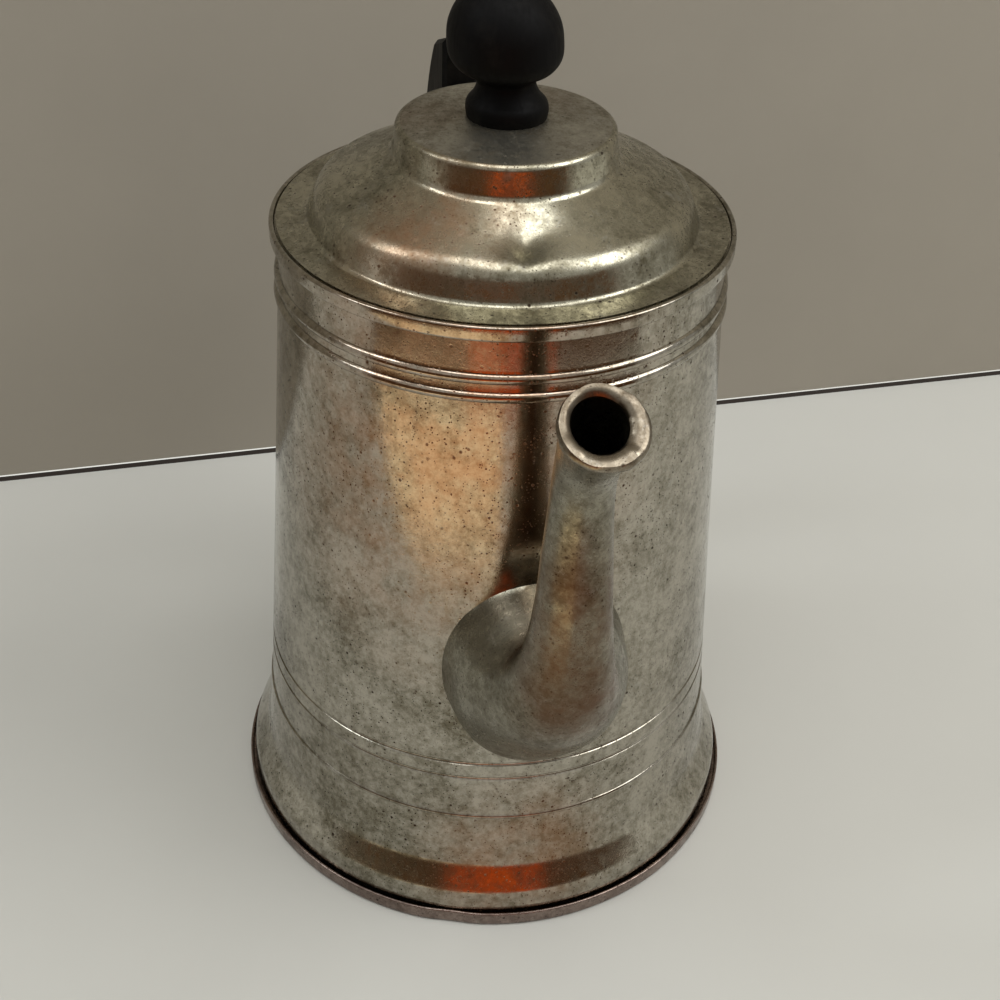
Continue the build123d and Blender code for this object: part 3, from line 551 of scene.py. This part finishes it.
foot_loop = rounded([(70.4, 0.0), (76.0, 0.0), (76.0, 4.6), (75.1, 4.6), (75.1, 2.4), (70.4, 2.4)],
                    [0.9, 0.44, 0.44, 0.1], 6)
foot_ring = turned("foot_ring", evenly(foot_loop, 1.2), foot_plate, foot_warp)
rim_loop = rounded([(57.5, 184.3), (59.8, 184.3), (59.8, 188.3), (58.4, 188.3), (58.4, 187.4),
                    (55.4, 187.4), (55.4, 186.3), (57.5, 186.3)], [0.8, 0.68, 0.6, 0.1, 0.3, 0.1], 6)
rim_ring = turned("rim_ring", evenly(rim_loop, 1.2), body_plate, rim_warp)
for piece, node, slot in ((foot_ring, "foot_band", "foot_metal"), (rim_ring, "body_rim", "nickel_plate")):
    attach(piece, "pot")
    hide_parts(node)
print("foot ring and rim:", len(foot_ring.data.polygons), len(rim_ring.data.polygons), "faces")

# %% [markdown]
# ## The lid
# The lid is spun in steps: a flat flange, a sharp cove, a full shoulder, a fillet and then a small drum with
# a crowned top. A knock in front of the drum has left a dent: a narrow crease that runs down from the drum,
# in a wider hollow that slants beside it. The dent is a lowering that depends on the angle and the radius.
# The drum's top is duller than the rest, so its faces get a finish of their own.

# %% Turn the lid with its dent
FLANGE_TOP, LID_SHEET = 188.35, 0.9
LID_CORNERS = [(57.9, 0.0), (50.2, 0.0), (47.3, 8.2), (28.6, 16.4), (27.5, 24.5), (11.2, 26.2), (0.0, 26.2)]
LID_BENDS = [1.6, 7.0, 2.4, 1.8, 6.0]
DRUM_RADIUS, SHOULDER_RADIUS = 27.5, 50
DENT_ANGLE, DENT_RADIUS = radians(-4.0), 39.0
CREASE_DEPTH, HOLLOW_DEPTH, SWELL = 0.9, 1.5, 0.22
# The faces of the drum's top lie above this rise and look up at least this much.
CROWN_RISE, CROWN_LOOK = 24.6, 0.8


def lid_line(inset):
    shifts = [0, 1, 1, 1, 1, 0, 0]
    corners = [(r - inset * s, FLANGE_TOP + rise - inset) for (r, rise), s in zip(LID_CORNERS, shifts)]
    bends = [b + inset * way for b, way in zip(LID_BENDS, (1, -1, 1, -1, 0))]
    return evenly(rounded(corners, bends, 10), 1.0)


def lid_warp(radius, height, angle):
    """The dent and a slow swell, on the shoulder alone."""
    across = (signed(angle) - DENT_ANGLE) * radius
    along = radius - DENT_RADIUS
    crease = exp(-(across / 2.6) ** 2) * exp(-(along / 6.5) ** 2)
    hollow = exp(-((across + 0.25 * along) / 8.0) ** 2) * exp(-((along + 1.0) / 6.0) ** 2)
    shoulder = clip((SHOULDER_RADIUS - radius) / 5) * clip((radius - DRUM_RADIUS) / 4)
    swell = SWELL * hand(radius, height, signed(angle), 26, 3)
    return radius, height + (swell - CREASE_DEPTH * crease - HOLLOW_DEPTH * hollow) * shoulder


lid_loop = lid_line(0) + lid_line(LID_SHEET)[::-1]
lid_dome = turned("lid_dome", lid_loop, lid_plate, lid_warp)
lid_dome.data.materials.append(crown_plate)
for face in lid_dome.data.polygons:
    if face.center.z > (FLANGE_TOP + CROWN_RISE) * MM and face.normal.z > CROWN_LOOK:
        face.material_index = 1
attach(lid_dome, "lid")
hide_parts("lid_shell")
print("lid:", len(lid_dome.data.polygons), "faces")

# %% [markdown]
# ## The wooden knob
# A ball on a waisted foot, turned from one piece. The outline is a smooth curve through the measured
# radii, made with a Catmull-Rom step, and the seat is flat on the drum. The real knob leans a little to the
# left of the picture, so each point above the foot is moved aside by its share of the height.

# %% Turn the knob
KNOB_SEAT, KNOB_FOOT = 214.55, 2.0
KNOB_POINTS = [(10.0, 0.0), (10.3, 2.0), (9.9, 3.9), (8.3, 5.8), (7.3, 8.4), (8.4, 10.2), (11.8, 12.3),
               (13.8, 15.2), (14.15, 19.0), (13.6, 23.2), (11.5, 27.4), (8.0, 30.8), (4.2, 32.6), (0.0, 33.1)]
KNOB_LEAN = 1.8


def smooth_through(points, steps=6):
    """Points on a Catmull-Rom curve through the given ones."""
    ends = [points[0], *points, points[-1]]
    line = []
    for before, one, two, after in zip(ends, ends[1:], ends[2:], ends[3:]):
        for k in range(steps):
            t = k / steps
            weights = (-t + 2 * t * t - t ** 3, 2 - 5 * t * t + 3 * t ** 3,
                       t + 4 * t * t - 3 * t ** 3, t ** 3 - t * t)
            line.append(tuple(sum(w * p[axis] for w, p in zip(weights, (before, one, two, after))) / 2
                              for axis in range(len(one))))
    return line + [points[-1]]


knob_side = [(max(0.0, r), KNOB_SEAT + rise) for r, rise in smooth_through(KNOB_POINTS)]
knob = turned("black_knob", [(0.0, KNOB_SEAT)] + knob_side, knob_wood, around=128, crease=50)
for vertex in knob.data.vertices:
    share = max(0.0, vertex.co.z / MM - KNOB_SEAT - KNOB_FOOT) / (KNOB_POINTS[-1][1] - KNOB_FOOT)
    vertex.co -= Vector((RIGHT.x, RIGHT.y, 0)) * (KNOB_LEAN * share * MM)
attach(knob, "lid")
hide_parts("lid_knob")
print("knob:", len(knob.data.polygons), "faces")

# %% [markdown]
# ## The gooseneck spout
# The spout leaves the wall as a wide bulb, turns up close to it and tapers to a leaning mouth. It was
# raised from sheet, so it is an oval tube whose size changes all the way. The ovals are given from the wall
# to the mouth, each by its upper and lower point in the middle plane, and a smooth curve runs through
# them. Points that would lie inside the wall are moved out onto it, so that the foot of the spout follows it.

# %% Sweep the spout
# Each oval is (x and z of its upper point, x and z of its lower point, half its width).
SPOUT_OVALS = [
    (56.0, 116.5, 56.0, 57.5, 25.0), (68.0, 114.5, 69.0, 60.5, 23.2), (76.0, 113.0, 77.5, 69.0, 20.2),
    (80.8, 114.0, 86.5, 79.0, 17.2), (83.0, 118.0, 95.0, 91.5, 14.2), (83.8, 125.0, 100.6, 109.0, 11.3),
    (84.4, 136.0, 101.4, 131.5, 9.2), (85.0, 151.0, 100.4, 149.0, 8.1), (86.2, 168.0, 100.2, 166.0, 7.1),
    (89.4, 181.5, 103.6, 175.5, 7.3), (95.6, 194.4, 111.7, 185.4, 8.7)]
SPOUT_SHEET, SPOUT_AROUND = 1.1, 96
# How far the foot of the spout sinks into the wall, and the height above which it is clear of it.
SPOUT_SINK, SPOUT_CLEAR = 0.35, 160


def oval_point(oval, angle, inset):
    """A point of one oval in millimetres, at an angle from the +Y side towards its upper point."""
    top, bottom = Vector((oval[0], 0, oval[1])), Vector((oval[2], 0, oval[3]))
    middle, up = (top + bottom) / 2, (top - bottom) / 2
    wide, high = oval[4] - inset, up.length - inset
    return middle + Vector((0, wide * cos(angle), 0)) + up.normalized() * (high * sin(angle))


def spout_rings(inset):
    rings = []
    for row, oval in enumerate(smooth_through(SPOUT_OVALS, 8)):
        ring = []
        for k in range(SPOUT_AROUND):
            point = oval_point(oval, 2 * pi * k / SPOUT_AROUND, inset)
            seat = wall_radius(point.z, plain_wall) - SPOUT_SINK if point.z < SPOUT_CLEAR else 0
            if hypot(point.x, point.y) < seat or row == 0:
                point.x = sqrt(max(seat ** 2 - point.y ** 2, 0))
            point.y += 0.12 * noise.noise(Vector((point.x, point.y, point.z)) / 14)
            ring.append(point)
        rings.append(ring)
    return rings


def closed_tube(name, rings, material, crease):
    """A mesh through rings of points in millimetres, with the last ring joined to the first."""
    around, rows = len(rings[0]), len(rings)
    vertices = [point * MM for ring in rings for point in ring]
    faces = []
    for row in range(rows):
        here, there = row * around, (row + 1) % rows * around
        faces += [[here + k, here + (k + 1) % around, there + (k + 1) % around, there + k]
                  for k in range(around)]
    return make_piece(name, vertices, faces, material, crease)


spout = closed_tube("spout", spout_rings(0) + spout_rings(SPOUT_SHEET)[::-1], spout_plate, 40)
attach(spout, "pot")
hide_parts("spout_tube")
print("spout:", len(spout.data.polygons), "faces")

# %% [markdown]
# ## The battered lip
# The mouth is edged with a thick lip that has been bent and filed by hand, so it has short flats and is
# wider on one side. A plain ring would look machine made. Each twelfth of the lip gets its own width and
# rise, and the corners between them are only lightly softened.

# %% Shape the lip
LIP_WIDTHS = [1.55, 1.2, 0.75, 0.85, 0.55, 0.7, 1.0, 1.35, 0.95, 0.8, 1.5, 1.7]
LIP_RISES = [1.9, 2.2, 1.7, 1.9, 1.6, 1.8, 1.5, 1.8, 1.4, 1.8, 2.1, 1.6]
# The lip's section, as (offset out of the mouth's oval, rise along the spout).
LIP_SECTION = [(-1.3, -0.9), (-2.4, -0.2), (-2.55, 0.3), (-1.9, 0.75), (-0.6, 1.0), (0.4, 0.95),
               (0.85, 0.55), (0.9, 0.0), (0.7, -0.45), (0.1, -0.9)]
LIP_AROUND, LIP_UNDERSIDE, LIP_SEAT, CORNER_SHARE = 96, 1.6, 0.25, 0.4


def around_value(values, share):
    """A value between neighbours round the lip, held near each one so that flats show."""
    spot = share * len(values)
    low = int(spot) % len(values)
    part = clip((spot - int(spot) - 0.5) / CORNER_SHARE + 0.5)
    return values[low] * (1 - part) + values[(low + 1) % len(values)] * part


def lip_rings():
    """Rings of the lip: each follows the mouth, at one point of the section."""
    mouth = SPOUT_OVALS[-1]
    out = Vector((mouth[1] - mouth[3], 0, mouth[2] - mouth[0])).normalized()
    rings = []
    for offset, rise in LIP_SECTION:
        ring = []
        for k in range(LIP_AROUND):
            share = k / LIP_AROUND
            angle = 2 * pi * share
            # The inner edge is moved aside, so the lip is thicker on one side of the mouth.
            aside = (0.45 * cos(angle) - 0.5 * sin(angle)) * clip(-offset - 0.6)
            reach = offset * around_value(LIP_WIDTHS, share) if offset > 0 else offset - aside
            height = rise * (around_value(LIP_RISES, share) if rise > 0 else LIP_UNDERSIDE) - LIP_SEAT
            ring.append(oval_point(mouth, angle, -reach) + out * height)
        rings.append(ring)
    return rings


lip = closed_tube("battered_lip", lip_rings(), lip_plate, 45)
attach(lip, "pot")
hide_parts("spout_lip")
print("lip:", len(lip.data.polygons), "faces")

# %% [markdown]
# ## Pieces that come from the measured model
# The handle board, the brackets, the hinge and everything inside the pot already have their true shape.
# Each is copied, its doubled points are merged, and its round faces are shaded smooth, so that it takes
# light as real metal and wood do. Only the board changes: the picture shows it narrower and a little to one
# side, so the copy is drawn that way.

# %% Dress the measured pieces
BOARD_NARROWING, BOARD_SHIFT = 0.85, 0.9


def dressed(node, body, slot, material):
    """A merged, smooth-shaded copy of a measured node in its finish."""
    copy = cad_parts[node].copy()
    copy.data = copy.data.copy()
    for key in list(copy.keys()):
        del copy[key]
    copy.name = "dressed_" + node
    bpy.context.collection.objects.link(copy)
    work = bmesh.new()
    work.from_mesh(copy.data)
    bmesh.ops.remove_doubles(work, verts=work.verts, dist=2e-6)
    work.to_mesh(copy.data)
    work.free()
    copy.data.shade_smooth()
    copy.data.set_sharp_from_angle(angle=radians(30))
    copy.data.materials.clear()
    copy.data.materials.append(material)
    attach(copy, body)
    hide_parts(node)
    return copy


MEASURED = [
    ("handle_grip", "pot", "ebonised_wood", handle_wood),
    ("base_plate", "pot", "inner_metal", inner_plate),
    ("upper_bracket", "pot", "nickel_plate", body_plate),
    ("lower_bracket", "pot", "nickel_plate", body_plate),
    ("upper_handle_pin", "pot", "rivet_metal", rivet_plate),
    ("lower_handle_pin", "pot", "rivet_metal", rivet_plate),
    ("hinge_body_leaf", "pot", "nickel_plate", body_plate),
    ("hinge_pin", "pot", "rivet_metal", rivet_plate),
    ("hinge_lid_leaf", "lid", "nickel_plate", lid_plate),
    ("lid_skirt", "lid", "inner_metal", inner_plate),
    ("knob_screw", "lid", "rivet_metal", rivet_plate),
    ("knob_washer", "lid", "rivet_metal", rivet_plate),
    ("pump_bell", "pump", "inner_metal", inner_plate),
    ("pump_tube", "pump", "inner_metal", inner_plate),
    ("basket_stop", "pump", "inner_metal", inner_plate),
    ("basket_cup", "basket", "inner_metal", inner_plate),
    ("basket_sleeve", "basket", "inner_metal", inner_plate),
    ("spreader_cover", "spreader", "inner_metal", inner_plate)]
pieces = {row[0]: dressed(*row) for row in MEASURED}
for vertex in pieces["handle_grip"].data.vertices:
    vertex.co.y = vertex.co.y * BOARD_NARROWING + BOARD_SHIFT * MM
print("dressed", len(MEASURED), "measured pieces")

# %% [markdown]
# ## Rivets
# Small domed rivets hold the handle's pads to the wall and the hinge to the lid. They repeat, so geometry
# nodes place them: one mesh of points says where they are, a vector on each point says which way its head
# looks, and the tree puts a flattened dome on every point.

# %% Build the rivet tree and place the rivets
RIVET_HEAD, RIVET_DOME = 1.9, 0.95
PAD_HEIGHTS, PAD_SIDES, PAD_SHEET = (176.5, 69.5), (-10.0, 10.0), 1.8
LEAF_RIVET_REACH, LEAF_SIDES, LEAF_SHEET = -51.8, (-3.5, 3.5), 1.2


def build_rivet_tree():
    inputs = [("Geometry", "NodeSocketGeometry", None), ("Head radius", "NodeSocketFloat", 0.002),
              ("Dome height", "NodeSocketFloat", 0.001), ("Finish", "NodeSocketMaterial", None)]
    tree, given, made = start_group("Rivets", inputs, [("Geometry", "NodeSocketGeometry")], "GeometryNodeTree")
    dome = put(tree, "GeometryNodeMeshUVSphere", {"Segments": 28, "Rings": 14, "Radius": 1.0})
    size = put(tree, "ShaderNodeCombineXYZ", {"X": given.outputs["Head radius"],
                                             "Y": given.outputs["Head radius"],
                                             "Z": given.outputs["Dome height"]})
    aim = put(tree, "GeometryNodeInputNamedAttribute", {"Name": "aim"}, data_type="FLOAT_VECTOR")
    turn = put(tree, "FunctionNodeAlignRotationToVector", {"Vector": aim.outputs["Attribute"]}, axis="Z")
    spread = put(tree, "GeometryNodeInstanceOnPoints", {
        "Points": given.outputs["Geometry"], "Instance": dome.outputs["Mesh"],
        "Rotation": turn.outputs[0], "Scale": size.outputs[0]})
    real = put(tree, "GeometryNodeRealizeInstances", {"Geometry": spread.outputs[0]})
    finish = put(tree, "GeometryNodeSetMaterial", {"Geometry": real.outputs[0],
                                                   "Material": given.outputs["Finish"]})
    smooth = put(tree, "GeometryNodeSetShadeSmooth", {"Geometry": finish.outputs[0]})
    tree.links.new(smooth.outputs[0], made.inputs["Geometry"])
    return tree


def nodes_piece(name, tree, settings, seeds, aims):
    """Run a geometry tree on a mesh of points and keep the result as a plain mesh."""
    mesh = bpy.data.meshes.new(name + "_points")
    mesh.from_pydata([Vector(p) * MM for p in seeds], [], [])
    mesh.attributes.new("aim", "FLOAT_VECTOR", "POINT").data.foreach_set(
        "vector", [v for aim in aims for v in aim])
    carrier = bpy.data.objects.new(name, mesh)
    bpy.context.collection.objects.link(carrier)
    modifier = carrier.modifiers.new("made", "NODES")
    modifier.node_group = tree
    sockets = {s.name: s.identifier for s in tree.interface.items_tree if s.in_out == "INPUT"}
    for label, value in settings.items():
        modifier[sockets[label]] = value
    bpy.context.view_layer.update()
    seen = carrier.evaluated_get(bpy.context.evaluated_depsgraph_get())
    result = bpy.data.meshes.new_from_object(seen)
    carrier.modifiers.remove(modifier)
    carrier.data = result
    return carrier


def pad_rivets():
    """Where the pad rivets are, and which way their heads look."""
    seeds, aims = [], []
    for height in PAD_HEIGHTS:
        for y in PAD_SIDES:
            reach = sqrt((radius_on(plain_wall, height) + PAD_SHEET) ** 2 - y * y)
            seeds.append((-reach, y, height))
            aims.append(Vector((-reach, y, 0)).normalized())
    return seeds, aims


rivet_tree = build_rivet_tree()
rivet_sizes = {"Head radius": RIVET_HEAD * MM, "Dome height": RIVET_DOME * MM, "Finish": rivet_plate}
body_rivets = nodes_piece("pad_rivets", rivet_tree, rivet_sizes, *pad_rivets())
hinge_rivets = nodes_piece("hinge_rivets", rivet_tree, rivet_sizes,
                           [(LEAF_RIVET_REACH, y, FLANGE_TOP + LEAF_SHEET) for y in LEAF_SIDES],
                           [(0, 0, 1)] * 2)
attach(body_rivets, "pot")
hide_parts("upper_bracket_rivets", "lower_bracket_rivets")
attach(hinge_rivets, "lid")
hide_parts("lid_leaf_rivets")
print("rivets:", len(body_rivets.data.polygons) + len(hinge_rivets.data.polygons), "faces")

# %% [markdown]
# ## Table and wall
# The pot stands on a pale table in front of a grey wall. Both are plain. The line where they meet is found
# by sending two rays from the camera to the table, so it crosses the picture where it should. A thin dark
# seam runs along it. The wall and the seam are clear from behind, so that the pot can be looked at from
# there too, and the table goes on beyond them.

# %% Lay the table and raise the wall
TABLE_HALF, TABLE_DEPTH = 2, 3
WALL_GAP, WALL_HEIGHT = 0.002, 2.2
SEAM_GAP, SEAM_HEIGHT = 0.0012, 0.0022


def on_table(px, py):
    """The point of the table that a pixel of the picture looks at."""
    middle = PICTURE_PIXELS / 2
    ray = FORWARD + RIGHT * ((px - middle) / FOCAL_PIXELS) + UP * ((middle - py) / FOCAL_PIXELS)
    return EYE + ray * (-EYE.z / ray.z)


def plain_material(name, colour, roughness, wander=0.0):
    """A matt finish that noise darkens here and there by the share given as wander."""
    material = bpy.data.materials.new(name)
    material.use_nodes = True
    tree = material.node_tree
    shader = tree.nodes["Principled BSDF"]
    place = put(tree, "ShaderNodeTexCoord").outputs["Object"]
    mark = ramp(tree, clouds(tree, place, 9, 5, 0.6), 0.3, 0.7)
    tree.links.new(tint(tree, mark, (*[c * (1 - wander) for c in colour], 1), (*colour, 1)),
                   shader.inputs["Base Color"])
    shader.inputs["Roughness"].default_value = roughness
    shader.inputs["Specular IOR Level"].default_value = 0.0
    return material


def stage_sheet(name, corners, material, faces=None):
    """A sheet of the stage: one face through all its corners, unless faces are given."""
    mesh = bpy.data.meshes.new(name)
    mesh.from_pydata(corners, [], faces or [list(range(len(corners)))])
    mesh.materials.append(material)
    sheet = bpy.data.objects.new(name, mesh)
    bpy.context.collection.objects.link(sheet)
    return sheet


left_foot, right_foot = on_table(205, 458), on_table(795, 395)
along = (right_foot - left_foot).normalized()
away = Vector((-along.y, along.x, 0))
table_colour = plain_material("pale_table", (0.60, 0.595, 0.55), 0.5, 0.03)
wall_colour = plain_material("grey_wall", (0.375, 0.34, 0.285), 0.8, 0.06)
seam_colour = plain_material("dark_seam", (0.06, 0.05, 0.045), 0.9)
for material in (wall_colour, seam_colour):
    tree = material.node_tree
    back = put(tree, "ShaderNodeNewGeometry").outputs["Backfacing"]
    tree.links.new(calc(tree, "SUBTRACT", 1.0, back), tree.nodes["Principled BSDF"].inputs["Alpha"])
start, end = left_foot - along * TABLE_HALF, right_foot + along * TABLE_HALF
depth, lift, top = away * TABLE_DEPTH, Vector((0, 0, WALL_GAP)), Vector((0, 0, WALL_HEIGHT))
stage_sheet("table", [start + depth, start - depth, end - depth, end + depth], table_colour)
stage_sheet("wall", [start + lift, end + lift, end + top, start + top], wall_colour)
near, seam_top = away * -SEAM_GAP, Vector((0, 0, SEAM_HEIGHT))
stage_sheet("seam", [start + near, end + near, end + near + seam_top, start + near + seam_top], seam_colour)
print("wall line from", [round(v, 3) for v in left_foot], "to", [round(v, 3) for v in right_foot])

# %% [markdown]
# ## Light
# Shiny metal shows the room more than it shows itself. A soft lamp from each side and from above and a pale
# sky give even light. The marks across the pot are the room in front of the table: dim, with a warm glow in
# its middle, a golden light on the near side of the table, and a paler strip between. Six curved cards
# stand for them. They give light of their own and only reflections see them: neither the picture, nor the
# light on the table, nor any shadow shows them.

# %% Set the lamps, the sky and the cards
CARD_STEPS = 24


def soft_lamp(name, place, size, power, colour=(1, 1, 1)):
    """A round lamp that looks at the middle of the pot."""
    lamp = bpy.data.lights.new(name, "AREA")
    lamp.shape = "DISK"
    lamp.size, lamp.energy, lamp.color = size, power, colour
    holder = bpy.data.objects.new(name, lamp)
    turn = (Vector((0, 0, 0.1)) - place).to_track_quat("-Z", "Y")
    holder.matrix_world = Matrix.Translation(place) @ turn.to_matrix().to_4x4()
    bpy.context.collection.objects.link(holder)


def beside(angle, reach, height):
    """A place by its angle from the camera's side, towards the right of the picture."""
    turn = CAMERA_TURN - pi / 2 + radians(angle)
    return Vector((reach * cos(turn), reach * sin(turn), height))


def card(name, start, end, colour, fade=0.0):
    """A curved card between two edges, each given as (lowest angle, highest angle, distance, height).

    Only reflections see it. fade is the distance over which it comes in from its first edge.
    """
    corners = []
    for low, high, reach, height in (start, end):
        corners += [beside(low + (high - low) * k / CARD_STEPS, reach, height) for k in range(CARD_STEPS + 1)]
    faces = [[k, k + 1, k + CARD_STEPS + 2, k + CARD_STEPS + 1] for k in range(CARD_STEPS)]
    material = bpy.data.materials.new(name)
    material.use_nodes = True
    tree = material.node_tree
    shader = tree.nodes["Principled BSDF"]
    shader.inputs["Base Color"].default_value = (0, 0, 0, 1)
    shader.inputs["Specular IOR Level"].default_value = 0.0
    shader.inputs["Emission Color"].default_value = (*colour, 1)
    shader.inputs["Emission Strength"].default_value = 1.0
    if fade:
        place = put(tree, "ShaderNodeTexCoord").outputs["Object"]
        reach = put(tree, "ShaderNodeVectorMath", {0: place}, operation="LENGTH").outputs["Value"]
        tree.links.new(ramp(tree, reach, start[2], start[2] + fade), shader.inputs["Alpha"])
    flag = stage_sheet(name, corners, material, faces)
    flag.visible_camera = flag.visible_diffuse = flag.visible_shadow = False


soft_lamp("left_lamp", beside(-100, 0.9, 1.1), 0.9, 12, (0.90, 0.95, 1.0))
soft_lamp("right_lamp", beside(80, 1.0, 1.2), 0.9, 8)
soft_lamp("top_lamp", beside(10, 0.2, 1.5), 1.0, 7)
sky = bpy.data.worlds.new("pale_sky")
bpy.context.scene.world = sky
sky.use_nodes = True
sky.node_tree.nodes["Background"].inputs["Color"].default_value = (0.80, 0.79, 0.76, 1)
sky.node_tree.nodes["Background"].inputs["Strength"].default_value = 0.62
DARK, WARM, GOLD, PINK = (0.11, 0.055, 0.024), (0.60, 0.105, 0.018), (1.15, 0.95, 0.62), (0.66, 0.44, 0.27)
card("dark_floor", (-61, 69, 0.436, 0.001), (-60, 66, 0.95, 0.001), DARK)
card("warm_floor", (-13, 25, 0.436, 0.002), (-13, 25, 0.94, 0.002), WARM)
card("golden_floor", (-23, 2, 0.225, 0.001), (-60, 4, 0.430, 0.001), GOLD, 0.06)
card("pink_floor", (-46, 0, 0.462, 0.003), (-44, 0, 0.492, 0.003), PINK)
card("dark_wall", (-60, 66, 0.95, 0.001), (-60, 66, 0.95, 0.52), DARK)
card("warm_wall", (-13, 25, 0.94, 0.001), (-13, 25, 0.94, 0.22), WARM)
bpy.context.scene.view_settings.view_transform = "Standard"
